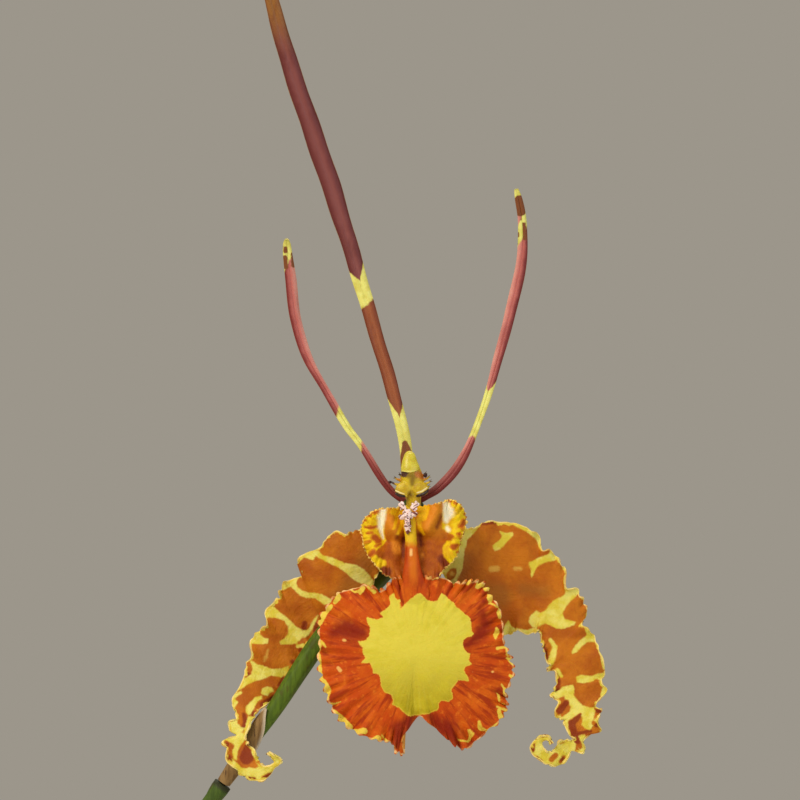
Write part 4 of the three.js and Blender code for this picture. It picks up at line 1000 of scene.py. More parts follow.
def stem_swell(s, turn):
    share = s / stem_lengths[-1]
    gaps = [(s - n * stem_lengths[-1]) / STEM_NODE["half"] for n in STEM_NODES]
    ring = sum(STEM_NODE["swell"] * np.exp(-(gap**2)) for gap in gaps)
    top = STEM_NODE["top"] * smooth(share, 1 - 3.0 / stem_lengths[-1], 1 - 2.0 / stem_lengths[-1])
    return 1 + ring + top + 0.012 * np.cos(turn * 6) + 0 * turn


def green_paint(name, light, dark, mottle):
    paint = Paint(name, roughness=0.62, specular=0.22)
    streak = paint.noise(0.7, 3, (1, 1, 0.12))
    base = paint.mix(paint.step(streak, 0.35, 0.7), light, dark)
    fleck = paint.step(paint.noise(1.4, 3, (1, 1, 0.5)), 0.56, 0.66)
    base = paint.over(base, mottle, fleck, 0.6)
    paint.bump(paint.times(streak, 0.06))
    return paint, base


def make_stem():
    paint, base = green_paint("stem_green", "4C6220", "3A4E18", "4A3620")
    collar = paint.step(paint.field("collar"), 1.4, 0.4)
    base = paint.over(base, "2A2616", collar, 0.85)
    paint.colour(base)
    steps, sides = STEM_GRID
    verts, faces = tube(STEM, steps, sides, (0.25, 1, 0), stem_swell)
    s = np.repeat(np.linspace(0, stem_lengths[-1], steps + 1), sides)
    near = np.min([np.abs(s - n * stem_lengths[-1]) for n in (*STEM_NODES, 1.0)], axis=0)
    shape = (verts, faces)
    add_piece("stem", shape, paint, ["flower_stem"], fields={"collar": np.r_[near, 9, 0]})


make_stem()

# Bracts on the stem: share of the length, half width and roll
STEM_BRACT_LENGTH = 14
STEM_BRACT_THICKNESS = 0.4
STEM_BRACT = [(0, 2.6, 1.0), (0.3, 2.7, 1.05), (0.6, 2.1, 0.9), (0.85, 1.1, 0.6), (1, 0.3, 0.3)]


def make_stem_bracts():
    paint = dry_paint("stem_bract_paper", "A88A60", "84653F", (1, 1, 0.1), alive="6B7A3C")
    for number, share in enumerate(STEM_NODES, 1):
        side = -1 if number % 2 else 1
        way = stem_way(share)
        foot = stem_at(share) + way * 0.9
        out = unit(np.array([side, -0.55, 0]) - way * way[0] * side)
        rows = []
        for k, half, roll in STEM_BRACT:
            place = foot + way * STEM_BRACT_LENGTH * k + out * (2.75 + 0.8 * k * k)
            rows.append([*place, *out, half, roll])
        points, _, along, v, w = blade(rows, 60, 28)
        shape = sheet(points, STEM_BRACT_THICKNESS * (1 - 0.5 * v**4), out)
        fields = {"edge": doubled((1 - np.abs(v)) * w), "share": doubled(along)}
        nodes = [f"stem_bract_{number}"]
        add_piece(f"bract_scale_{number}", shape, paint, nodes, fields=fields)


make_stem_bracts()

# The flower's own stalk with its ovary
OVARY = [
    (*NODE_IN_FLOWER, 0.65, 0.65), (-32.6, 4.5, -48.3, 1.15, 1.1), (-27.6, 4, -41.1, 1.6, 1.5),
    (-22.5, 4.2, -33.2, 1.8, 1.75), (-18.5, 5.2, -27.4, 1.9, 1.8), (-13.4, 7.9, -21.4, 1.95, 1.8),
    (-8, 7.8, -16.2, 1.9, 1.8), (-4, 7.5, -11.4, 1.9, 1.8), (-1.4, 6.2, -6, 2.0, 1.9),
    (0, 3.4, -1, 2.1, 2.0),
]
STALK_GRID = (180, 36)  # steps along and sides
SEAT = {"at": (0, 2.7, -0.7), "radii": (2.5, 2.3, 2.2), "detail": (32, 20)}


def make_ovary():
    paint, base = green_paint("ovary_green", "566E14", "435810", "4C4A12")
    # Painted shade: the stalk darkens towards the flower, where it lies behind the lip
    base = paint.mix(paint.step(paint.field("up"), -19, -13), base, "3A4412")
    base = paint.mix(paint.step(paint.field("up"), -52, -55), base, "2A2410")
    paint.colour(base)
    ribs = lambda s, t: 1 + 0.035 * np.cos(6 * t) * smooth(s, 14, 30)
    stalk = tube(OVARY, *STALK_GRID, swell=ribs)
    seat = ball(SEAT["at"], SEAT["radii"], detail=SEAT["detail"])
    shape, _ = joined([stalk, seat])
    add_piece("ovary", shape, paint, ["flower_stalk_and_ovary"], FLOWER_AT, {"up": shape[0][:, 2]})


make_ovary()

# The bract round the stalk: share of its length, half width and roll
BRACT = [
    (0.0, 3.15, 2.45), (0.25, 3.75, 2.4), (0.5, 3.5, 1.95), (0.75, 2.55, 1.28), (0.92, 1.0, 0.7),
    (1, 0.3, 0.3),
]
BRACT_START = 0.4
BRACT_LENGTH = 17.5
BRACT_THICKNESS = 0.34
BRACT_FACE = (-0.65, -0.7, 0.4)
BRACT_PARTS = 600  # parts that the stalk's line is cut into


def make_floral_bract():
    paint = dry_paint("floral_bract_paper", "8E7044", "644824", (1, 0.4, 0.12))
    rows, lengths = even_rows(OVARY, BRACT_PARTS)
    stations = []
    for k, half, roll in BRACT:
        i = round(BRACT_PARTS * (BRACT_START + BRACT_LENGTH * k) / lengths[-1])
        out = unit(np.array(BRACT_FACE))
        stations.append([*(rows[i, :3] + out * (rows[i, 3] + 0.6)), *out, half, roll])
    points, _, share, v, w = blade(stations, 90, 48)
    ribs = 0.05 * np.sin(v * 26)
    shape = sheet(points, BRACT_THICKNESS * (1 - 0.5 * v**4) + ribs, BRACT_FACE)
    fields = {"edge": doubled((1 - np.abs(v)) * w), "share": doubled(share)}
    add_piece("bract", shape, paint, ["floral_bract"], FLOWER_AT, fields)


make_floral_bract()

# Column and anther cap
COLUMN_BODY = [
    (0.3, -0.6, -0.8, 1.5, 1.3), (0.3, -0.9, 1.2, 1.5, 1.3), (0.1, -1.3, 3.2, 2.1, 1.5),
    (0, -1.6, 5.0, 2.4, 1.6), (-0.1, -1.8, 6.6, 2.0, 1.6), (-0.3, -1.9, 8.2, 1.4, 1.3),
    (-0.5, -1.9, 9.4, 0.8, 0.8),
]
CAP = [
    (-0.35, -2.6, 6.75, 1.72, 1.3), (-0.4, -2.5, 7.4, 1.85, 1.5), (-0.5, -2.3, 8.5, 1.6, 1.42),
    (-0.5, -2.1, 9.4, 1.32, 1.25), (-0.5, -2.0, 10.2, 1.02, 1.0), (-0.5, -2.0, 10.65, 0.62, 0.6),
    (-0.5, -2.0, 10.85, 0.2, 0.2),
]
COLUMN_GRID = (60, 32)  # steps along and sides
COLUMN_MELT = (0.11, 3)  # the size of a voxel and the rounds of smoothing
CAP_GRID = (60, 48)
CAP_BRIM = {"lift": 0.55, "middle": -0.4, "half": 1.9, "drop": 0.6, "above": 8.6, "below": 6.8}
FRINGE = [
    (2.1, 2.9, 3.6, 3.9), (2.2, 3.9, 3.9, 4.9), (2.2, 4.8, 3.6, 5.8), (1.9, 5.6, 2.9, 6.5),
    (-2.1, 2.9, -3.6, 3.0), (-2.2, 3.8, -4.3, 4.6), (-2.2, 4.7, -3.6, 5.6), (-1.9, 5.6, -2.6, 6.3),
]
COLUMN_MARKS = {
    "brown": [[(398.5, 472, 3), (404, 473, 4)]],
    "shade": [[(409, 476, 2), (415, 476, 2)], [(412.5, 478, 3), (412, 484, 1.6)],
              [(409.5, 493, 1.4), (411, 495, 2)]],
    "amber": [[(418, 474, 3), (423, 476, 4)], [(399, 479, 1.6)]],
    # painted shadow: dark crescents under the wings
    "painted_wing_shadow": [[(395, 492.9, 1.4), (399, 495.4, 2), (404, 496.4, 1.6)],
              [(417.5, 495.7, 1.4), (423, 494.2, 2), (428.5, 490, 1.4)]],
    "cream": [[(395.5, 490.2, 0.6), (400, 492.4, 0.7), (404, 493.6, 0.4)],
              [(417, 492.6, 0.5), (422, 490.9, 0.7), (427, 487.4, 0.5)]],
}
WINGS = [  # place, radii, turn
    ((1.55, -2.5, 3.4), (1.9, 0.75, 1.5), (0, 0.45, 0)),
    ((-1.55, -2.5, 3.3), (1.9, 0.75, 1.5), (0, -0.45, 0)),
]
FEELERS = [
    [(-1.0, -2.6, 1.85, 0.25, 0.3), (-2.4, -3.2, 1.9, 0.28, 0.3), (-3.4, -3.2, 2.4, 0.16, 0.2)],
    [(1.0, -2.6, 1.95, 0.25, 0.3), (2.2, -3.2, 2.2, 0.28, 0.3), (3.2, -3.2, 2.9, 0.16, 0.2)],
]
DARK_LOBES = [((2.65, -2.5, 6.0), (0.42, 0.35, 0.48)), ((-4.4, -2.6, 4.6), (0.34, 0.3, 0.3))]


def tooth(x0, z0, x1, z1):
    rows = [
        (x0 * 0.6, -1.6, z0, 0.5, 0.45), ((x0 + x1) / 2, -2.1, (z0 + z1) / 2, 0.26, 0.24),
        (x1, -2.5, z1, 0.1, 0.1),
    ]
    return tube(rows, 12, 8, (0, 1, 0.1))


def column_paint():
    paint = Paint("column_yellow", roughness=0.42, specular=0.45, glow=0.15)
    base = paint.mottled(1.2, 3, 0.35, 0.65, "CDB010", "B89608")
    base = paint.mix(paint.step(paint.field("shade"), -2.5, 2), base, "85690C")
    base = paint.mix(paint.mark("amber", 1, 0.6, -2, 1.5), base, "BE6E14")
    base = paint.mix(paint.mark("brown", 1.2, 0.5, -1.2, 1), base, "4E2C20")
    base = paint.mix(paint.step(paint.field("cream"), -0.5, 0.4), base, "F4E2A0")
    # Painted shadow under the wings
    base = paint.mix(paint.step(paint.field("painted_wing_shadow"), -0.5, 0.4), base, "2A140C")
    base = paint.mix(paint.step(paint.field("tip"), 0.35, 0.9), base, "5A2A18")
    paint.colour(base)
    paint.bump(paint.times(paint.noise(0.35, 3), 0.08))
    return paint


def make_column():
    shapes = [tube(COLUMN_BODY, *COLUMN_GRID), *(ball(*wing) for wing in WINGS)]
    shapes += [tooth(*ends) for ends in FRINGE]
    shapes += [tube(feeler, 16, 10, (0, 0.2, 1)) for feeler in FEELERS]
    verts, faces = fused(shapes, *COLUMN_MELT)
    pixels = to_picture(verts)
    fields = {name: strokes(pixels, marks) for name, marks in COLUMN_MARKS.items()}
    fields["tip"] = smooth(np.abs(verts[:, 0] - 0.1), 2.9, 4.0)
    add_piece("column_body", (verts, faces), column_paint(), ["column"], FLOWER_AT, fields)


def make_fringe():
    paint = Paint("fringe_dark", roughness=0.5, specular=0.3)
    paint.colour(paint.mix(paint.noise(0.5, 2), "3A1712", "241010"))
    hairs = []
    for x0, z0, x1, z1 in FRINGE:
        x, z = x0 + (x1 - x0) * 0.6, z0 + (z1 - z0) * 0.6
        for k, lift in ((0.2, 0.25), (0.9, -0.2)):
            end = (x1 + 0.2 * np.sign(x1) * k, -2.8 - 0.5 * k, z1 + lift)
            middle = ((x + end[0]) / 2, -2.5, (z + end[2]) / 2 + 0.1)
            hairs.append(tube([(x, -2.1, z, 0.08, 0.08), (*middle, 0.05, 0.05), (*end, 0.03, 0.03)], 8, 6))
    shape, _ = joined([*hairs, *(ball(*place) for place in DARK_LOBES)])
    add_piece("column_fringe", shape, paint, ["column"], FLOWER_AT)


def make_cap():
    paint = Paint("anther_cap_yellow", roughness=0.38, specular=0.5, glow=0.2)
    tone = paint.mottled(1.3, 3, 0.35, 0.65, "D2C43A", "C2B026")
    paint.colour(paint.mix(paint.step(paint.field("rim"), 1, 0), tone, "E2D670"))
    paint.bump(paint.times(paint.noise(0.4, 2), 0.05))
    flare = lambda s, t: 1 + 0.08 * np.exp(-s / 0.35) + 0.03 * np.cos(3 * t)
    verts, faces = tube(CAP, *CAP_GRID, swell=flare)
    brim = CAP_BRIM
    bend = ((verts[:, 0] - brim["middle"]) / brim["half"]) ** 2 - brim["drop"]
    verts[:, 2] += brim["lift"] * bend * smooth(verts[:, 2], brim["above"], brim["below"])
    fields = {"rim": smooth(verts[:, 2], 6.5, 7.3)}
    add_piece("anther_hood", (verts, faces), paint, ["anther_cap"], FLOWER_AT, fields)


make_column()
make_fringe()
make_cap()

# Lip
MID_CENTRE = np.array([0.6, -30.0])
MID_OUTLINE = [
    (-3.8, -14.6), (-5.9, -17.0), (-9.1, -15.9), (-12.2, -16.8), (-15.0, -17.7), (-17.0, -20.2),
    (-18.6, -23.0), (-18.5, -27.2), (-18.7, -31.6), (-17.7, -35.9), (-16.2, -40.0), (-13.9, -43.4),
    (-10.3, -45.7), (-6.7, -46.9), (-4.0, -47.4), (-3.2, -49.2), (-1.6, -49.4), (-2.1, -46.8),
    (-0.7, -44.4), (1.4, -42.0), (3.1, -43.2), (5.0, -44.7), (7.4, -46.9), (10.6, -48.6), (14.4, -45.6),
    (17.5, -43.0), (19.0, -40.0), (18.8, -37.2), (20.2, -33.8), (19.7, -30.4), (18.4, -27.4), (18.1, -24.0),
    (17.4, -20.4), (15.5, -17.8), (14.2, -15.6), (11.6, -15.1), (8.8, -15.5), (6.2, -14.5), (3.4, -14.1),
    (0.8, -14.2), (-1.8, -14.3),
]
MID_GRID = (52, 560)  # rings and sectors
RAY_TURN = 14  # how fast the streaks change round the lip's middle
RAY_RUN = 0.16  # and on the way out from it
MID_CRISP = {"deep": 0.7, "wide": 0.35, "waves": 57, "calm": (0.4, 0.55)}
LIP_YELLOW = [
    (393.9, 592.5), (395.3, 598), (399.8, 598.8), (400.2, 601), (400.6, 608.6), (406.8, 601.6),
    (413.9, 595.3), (420, 591.8), (423.5, 595.3), (427, 598.8), (431.2, 600.9), (436.8, 600.2),
    (438.9, 596), (441, 592.5), (446, 595.3), (448.8, 598.8), (453.7, 602.3), (456.5, 606.5),
    (462.1, 611.4), (468.4, 616), (470.5, 618.4), (470.5, 624.7), (471.2, 630.4), (474, 633.2),
    (471.9, 635.3), (465.6, 636.7), (462.8, 639.5), (462.8, 645.8), (465.6, 650.7), (469.8, 652.8),
    (468.4, 658.4), (471.2, 663.3), (465.6, 664.9), (463.5, 669.1), (466.3, 674), (468.4, 679.6),
    (457.9, 679.3), (455, 683.2), (450.9, 688), (452.3, 693), (452.3, 697.2), (448, 700.3), (441, 699.3),
    (438.6, 702.1), (438.2, 708.4), (432.6, 710.5), (427.7, 712.6), (420, 713.5), (414.8, 713.6),
    (409.4, 715.1), (404.8, 712), (399.5, 706.7), (392.6, 703.6), (393, 699.8), (391.8, 693.7),
    (384.2, 690.6), (381.1, 684.5), (380.5, 677), (378.8, 673.2), (373.2, 671.8), (372.5, 666.8),
    (370.4, 661.9), (361.2, 661.9), (366.1, 657), (362.6, 651.4), (363.3, 647.2), (358.4, 640.9),
    (364.7, 640.2), (369, 636), (370.4, 631), (370.4, 626.1), (367.5, 622), (366.8, 616.7), (371.8, 617.7),
    (377.4, 619.1), (383, 616.3), (380.2, 612.1), (387.9, 607.2), (390, 603.7), (389.3, 598),
    (390.7, 594.6),
]
# Dark red-brown patches; the two by the notch at the bottom are painted shade where the lobes fold back
LIP_DARK = [
    [(334, 632, 6), (346, 628, 11), (362, 632, 7)], [(324, 650, 2), (326, 652, 2)],
    [(484, 592, 2.5), (484, 600, 3)], [(482, 612, 4), (486, 624, 7), (480, 634, 8), (466, 643, 5)],
    [(396, 742, 4), (400, 728, 10), (412, 714, 5)], [(432, 716, 6), (446, 728, 9), (456, 740, 7)],
    [(500, 688, 3), (496, 690, 2)],
]
LIP_PALE = [
    [(338.6, 667.2, 1.7), (340.8, 669.6, 1.8)], [(492, 671, 1.3)],
    [(344.2, 639.4, 1.5), (345.4, 639.8, 1.3)], [(428, 577, 1.4), (433, 577.5, 1.4)], [(472.5, 671, 0.5)],
]
LIP_MARGIN = [
    [(339, 591, 0.8), (349, 587.5, 0.9), (355, 592, 0.9), (360, 590, 1.5), (362.5, 588, 2.4),
     (361, 592.5, 1.4)],
    [(368, 585.5, 0.7), (374.6, 591.5, 0.9)], [(337, 593, 1.8), (338, 598, 2.6), (335, 602, 1.6)],
    [(331, 606, 2), (327, 610, 2.6), (323.5, 616, 2.8), (321, 622, 2), (319, 626, 1.2)],
    [(316, 637.5, 1), (321, 642, 1.8), (326, 645.5, 0.7)],
    [(320, 644, 1.8), (318, 652, 1.7), (320, 656, 1)],
    [(320, 656, 1), (320.5, 668, 1.7), (321.5, 678, 1.8), (326, 683, 2), (328, 690, 4), (327, 697, 2)],
    [(330, 702.5, 1.6), (335, 702.5, 1.4), (341, 701, 0.6)],
    [(335, 710.5, 1.6), (341, 717, 3.2), (350, 726, 2.8)],
    [(352, 730, 1.6), (359, 731, 2.2), (364.5, 729.5, 2.6)], [(372, 739, 1), (378, 736.5, 2.6)],
    [(381, 733.5, 0.8), (384, 737, 1.2), (388, 740, 0.9)], [(453, 583.5, 1), (453.5, 586, 1)],
    [(467.5, 583.5, 1.3), (470, 580.5, 1.7)], [(477, 586, 2.4), (479, 582.5, 3.4), (483, 585, 2.4)],
    [(485, 589, 1.6), (490, 587, 2.2), (491.5, 585.5, 1.4)],
    [(490.5, 592, 2), (489.5, 598, 2.4), (490, 602.5, 1.2)],
    [(488, 603, 0.8), (494, 604.5, 0.8), (500, 606.5, 1)],
    [(499, 608, 1.4), (498.5, 613, 2), (499.5, 617, 1.4)],
    [(496.5, 629, 2), (495.5, 634, 3), (495.5, 637.5, 1.6)], [(497, 647.5, 1.6), (504, 646.5, 1.4)],
    [(506, 648, 0.8), (507, 655, 1)], [(506, 657.5, 0.8), (509, 659, 2.2), (512, 664, 1)],
    [(513, 667, 0.9), (513.5, 670, 1.2)], [(509, 675, 1.3), (512, 677, 1.6)],
    [(501, 683, 0.7), (504, 688, 1.3), (505, 694, 0.8)],
    [(496, 691.5, 0.7), (498, 696, 1), (499.5, 700.5, 0.6)], [(506.5, 698, 0.8), (509, 701.5, 0.8)],
    [(502, 701.5, 0.6), (507, 705, 0.9)], [(496, 706, 0.6), (506.5, 710.5, 1)],
    [(498.5, 710, 1.8), (500, 716, 2.6)], [(486, 730.5, 0.9), (491, 727, 0.9), (497, 722, 0.8)],
    [(479, 720, 0.9), (480, 727, 3), (485.5, 728.5, 1)],
    [(469, 728.5, 1), (471.5, 733, 2.4), (467, 741, 1)], [(456, 737, 0.6), (464.5, 740.5, 0.7)],
    [(404.5, 573, 0.7), (402.5, 577, 1)],
]


def ridge(x, z, line, width):
    """How much of a ridge with a line of (x, y) in the picture is felt at a place, 0 to 1."""
    pixels = to_picture(np.stack([x, 0 * x, z], -1))
    return np.exp(-((stroke(pixels, [(*p, 0) for p in line]) / width) ** 2))


def mid_depth(x, z, out, round_):
    dome = -5.2 + 2.6 * ((x - MID_CENTRE[0]) / 20) ** 2 + 1.3 * ((z + 32) / 17) ** 2
    groove = 0.5 * np.exp(-(((x - 0.8) / 1.6) ** 2)) * np.maximum(0, (-z - 26) / 16)
    folds = (1 + 0.8 * uneven(round_, 5)) * np.sin(TAU * 40 * round_ + 3 * np.sin(TAU * 3 * round_))
    folds = 0.2 * folds + 0.07 * np.sin(TAU * 97 * round_ + 4 * uneven(round_, 6))
    folds = folds * out**3 * (1 - 0.5 * out)
    shoulders = -0.5 * ridge(x, z, [(401, 575), (396, 590)], 6)
    shoulders = shoulders - 0.5 * ridge(x, z, [(427, 578), (440, 590)], 7)
    channel = 0.35 * ridge(x, z, [(402, 600), (401, 585)], 2.5)
    return dome + groove + folds + shoulders + channel + 0.75 * out**6 * np.sin(TAU * 16 * round_)


def petal_relief(paint, size=0.32, depth=0.1):
    """Fine grain with a faint broader swelling."""
    fine = paint.times(paint.noise(size, 3), depth)
    return paint.math("ADD", fine, paint.times(paint.noise(2.4, 3), 0.35))


def lip_paint():
    paint = Paint("lip_velvet", roughness=0.6, specular=0.14, glow=0.1)
    base = lip_ground(paint)
    marks = paint.wobbled(paint.wobbled(paint.field("margin"), 0.7, 0.5), 0.8, 1.2)
    base = paint.mix(paint.step(marks, -0.7, 0.5), base, paint.mix(paint.noise(0.8, 2), "EBC653", "D8C438"))
    rim = paint.mark("edge", 0.8, 0.7, 1.5, 0.4)
    rim = paint.times(rim, paint.step(paint.noise(3.5, 2), 0.4, 0.52, (0.25, 0.9)))
    rim = paint.times(rim, paint.step(paint.field("dark"), 0, -4))
    base = paint.mix(rim, base, "EFC382")
    base = paint.mix(paint.mark("pale", 0.5, 0.5, -0.8, 0.8), base, "E6B05C")
    below = paint.mix(paint.step(paint.field("yellow"), -4, 4), "C98A3A", "D9CE68")
    paint.colour(paint.mix(paint.field("under"), base, below))
    paint.bump(petal_relief(paint))
    return paint


def lip_ground(paint):
    """Orange with radial streaks, dark patches and the yellow middle, for the middle lobe and the claw."""
    streaks = paint.noise(1.0, 4, (1, 1, 1), 0.6, at=ray_place(paint))
    orange = paint.mottled(5, 3, 0.35, 0.68, "BE4604", "D0600A")
    orange = paint.mottled(1.1, 4, 0.52, 0.75, orange, "DE7418")
    orange = paint.mix(paint.step(streaks, 0.46, 0.66), orange, "9E3202")
    # Dark red-brown patches, with painted shade by the notch at the bottom
    dark = paint.mark("dark", 4, 1.8, -5, 7)
    orange = paint.over(orange, "801A02", dark, 0.9)
    yellow = paint.mix(paint.step(paint.field("low"), 640, 716), "D8CA44", "A8960C")
    yellow = paint.over(yellow, "CABC28", paint.step(paint.noise(3, 4), 0.42, 0.66), 0.5)
    yellow = paint.over(yellow, "EDE678", paint.step(streaks, 0.45, 0.8), 0.1)
    lace = paint.wobbled(paint.wobbled(paint.field("yellow"), 1.0, 0.35), 1.2, 0.9)
    base = paint.mix(paint.step(lace, -0.7, 0.6), orange, yellow)
    border = paint.times(paint.step(lace, 1.6, 0.2), paint.step(lace, -0.4, 0.4))
    return paint.over(base, "E8BC44", border, 0.5)


def lip_marks(points):
    """Fields of the lip's common marks."""
    pixels = to_picture(points)
    way = points[..., [0, 2]] - MID_CENTRE
    far = np.hypot(way[..., 0], way[..., 1])
    return {
        "yellow": patch(pixels, LIP_YELLOW), "dark": strokes(pixels, LIP_DARK), "low": pixels[..., 1],
        "ray_x": RAY_TURN * way[..., 0] / far, "ray_z": RAY_TURN * way[..., 1] / far, "far": RAY_RUN * far,
    }


def ray_place(paint):
    """A place that turns round the lip and runs out slowly from its middle."""
    node = paint.tree.nodes.new("ShaderNodeCombineXYZ")
    for socket, name in zip(node.inputs, ("ray_x", "ray_z", "far")):
        paint.join(paint.field(name), socket)
    return node.outputs[0]


def edge_gap(points, edge):
    """How many pixels each point lies from a lobe's edge."""
    return np.abs(patch(points[..., [0, 2]], edge)) / PICTURE_SCALE


def make_mid_lobe(paint):
    points, edge = lobe(MID_CENTRE, MID_OUTLINE, MID_GRID, mid_depth, MID_CRISP)
    pixels = to_picture(points)
    share = np.linspace(0, 1, points.shape[0])[:, None]
    shape = sheet(points, TEPAL_THICKNESS * (1 - 0.5 * share**6), FORWARD, closed=True)
    fields = lip_marks(points)
    fields |= {"pale": strokes(pixels, LIP_PALE), "margin": strokes(pixels, LIP_MARGIN)}
    fields["edge"] = edge_gap(points, edge)
    add_piece("lip_mid_lobe", shape, paint, ["lip"], FLOWER_AT, both_sides(fields, True))


# Side lobes of the lip
LEFT_CENTRE = np.array([-5.2, -6.0])
LEFT_OUTLINE = [
    (-0.6, -1.0), (-3.2, -0.5), (-6.2, -0.7), (-8.5, -1.6), (-10.0, -3.8), (-9.9, -6.6), (-9.2, -9.2),
    (-7.6, -11.6), (-5.4, -13.9), (-2.4, -14.8), (0.4, -14.4), (0.2, -9), (-0.4, -4),
]
RIGHT_CENTRE = np.array([5.6, -6.2])
RIGHT_OUTLINE = [
    (0.2, -0.9), (3.6, 0.1), (6.0, 0.7), (7.8, 1.1), (9.4, 0.4), (10.6, -1.6), (10.7, -4.4), (9.7, -7.0),
    (9.2, -9.4), (8.0, -11.4), (6.4, -12.8), (5.0, -14.6), (2.2, -15.0), (0.2, -14.4), (0.2, -9), (0, -4),
]
SIDE_GRID = (44, 340)  # rings and sectors
SIDE_THICKNESS = 0.5
SIDE_CRISP = {"deep": 0.22, "wide": 0.16, "waves": 37, "calm": (2, 3)}
SIDE_FOLDS = {
    "left": {
        "crest": [(389, 507), (390, 521), (397, 534)],
        "bulge": [(373, 514), (368, 527), (369, 541), (375, 554)],
        "valley": [(382, 510), (381.5, 525), (385, 541)],
        "hollow": [(403, 538), (402, 560)],
    },
    "right": {
        "crest": [(437, 504), (434, 515), (427, 529)],
        "bulge": [(456, 507), (461, 522), (456, 540), (450, 554)],
        "valley": [(447, 504), (446, 520), (446, 538)],
        "hollow": [(421, 536), (423, 560)],
    },
}
SIDE_YELLOW = {
    "left": [(359, 524), (361, 515), (368, 510), (375, 507), (383, 505), (389, 507), (388, 512), (386, 518),
             (385, 526), (385, 534), (387, 541), (382, 546), (377, 549), (375, 554), (378, 557), (385, 560),
             (387, 564), (380, 568), (371, 564), (363, 555), (360, 545), (359, 535)],
    "right": [(443, 505), (446, 499), (451, 496), (458, 500), (466, 511), (469, 525), (465, 533),
              (462, 538), (459, 546), (457, 557), (451, 564), (445, 557), (443, 551), (444, 545),
              (447, 542), (452, 541), (454, 536), (450, 533), (445, 531), (441, 527), (442, 520),
              (441, 512)],
}
SIDE_MARKS = {
    "left": {
        "white": [
            [(384, 510, 3), (381.5, 518, 4.6), (380.7, 526.5, 3.2), (381.5, 532, 1.4), (383, 538, 0.6)],
        ],
        "blobs": [[(366, 527, 0.8), (371, 527, 2), (376, 526, 0.8)], [(368, 533, 0.8), (372, 532.5, 0.9)],
                  [(374, 537, 3), (378, 541, 2.8)], [(366, 542, 0.6), (370, 541, 0.8)],
                  [(374, 552, 2.6), (370, 556, 2)], [(367, 515.5, 1.2), (369.5, 515, 1.8)],
                  [(374, 512.5, 1.6), (377, 511.5, 1.2)], [(380, 510, 1.2), (386, 509, 1.2)],
                  [(362.5, 521.5, 1.6), (366, 520, 1)], [(362.5, 536.5, 0.8)], [(363.5, 544, 0.9)],
                  [(366, 550, 0.9)], [(369, 557, 1)], [(380, 544, 1), (376, 546, 1.2)]],
        "gold": [[(394, 511, 4), (400, 513, 4.5)], [(402, 519, 1.8), (400, 527, 1.6), (397.5, 533, 1.2)],
                 [(396, 517, 1.8), (394, 528, 1)], [(379, 560.5, 1), (385, 562, 1.2)]],
        # light: painted highlights on the crest and by the claw
        "light": [[(395, 540, 3), (397, 548, 5)], [(389, 516, 2.5), (391, 526, 2)]],
        # dark: dark red blotches, and painted shade beside the claw
        "dark": [[(403, 538, 2.5), (403, 556, 2)], [(374, 567, 3.5), (388, 571, 4)], [(388, 577, 3)],
                 [(399, 529, 0.8), (397, 537, 1)]],
    },
    "right": {
        "white": [[(446, 505, 3.6), (448, 512, 6), (446, 519, 3.4)], [(447, 528, 2), (449, 530, 1.6)]],
        "blobs": [[(461, 526, 2.8), (463, 521, 1.8)], [(458.5, 534, 1.8)],
                  [(452.8, 547, 2.6), (456, 545, 1.8)], [(449, 500, 1.2), (451, 501, 1.2)],
                  [(456, 503, 1.4)], [(460.5, 508, 1)], [(464, 514, 1)], [(465.5, 519, 1)], [(465, 530, 1)],
                  [(460, 538, 0.9)], [(456, 552, 0.9)], [(452, 536, 1.6), (446, 538, 2)]],
        "gold": [[(418, 508, 3.5), (427, 508, 3.5), (423, 516, 5)],
                 [(419, 520, 2.6), (420, 527, 2), (424.5, 533, 1)]],
        # light: painted highlights on the crest, and a small pale spot
        "light": [[(434, 508, 3), (430, 519, 3), (427, 526, 1.6)], [(422, 555, 1.2)]],
        # dark: dark red blotches, and painted shade beside the claw and on the far side of the crest
        "dark": [[(420, 535, 3.2), (421, 545, 2)], [(442, 559, 4), (446, 567, 3)], [(439, 575, 2.4)],
                 [(441, 514, 1.6), (436, 526, 2)]],
    },
}


def side_depth(side, sign):
    folds = SIDE_FOLDS[side]

    def depth(x, z, out, round_):
        shoulder = 1.5 * np.maximum(0, (sign * x - 6.5) / 4) ** 1.5
        down = 2.1 * np.maximum(0, (-z - 7) / 8)
        crest = -1.5 * ridge(x, z, folds["crest"], 6) - 1.1 * ridge(x, z, folds["bulge"], 7)
        dips = 0.7 * ridge(x, z, folds["valley"], 5) + 0.8 * ridge(x, z, folds["hollow"], 6)
        ribs = 0.17 * np.sin(TAU * 26 * round_) * smooth(out, 0.55, 0.95) * (sign * x > 4.5)
        return -2.6 + shoulder - down + crest + dips + ribs + 0.45 * out**4 * np.sin(TAU * 7 * round_)

    return depth


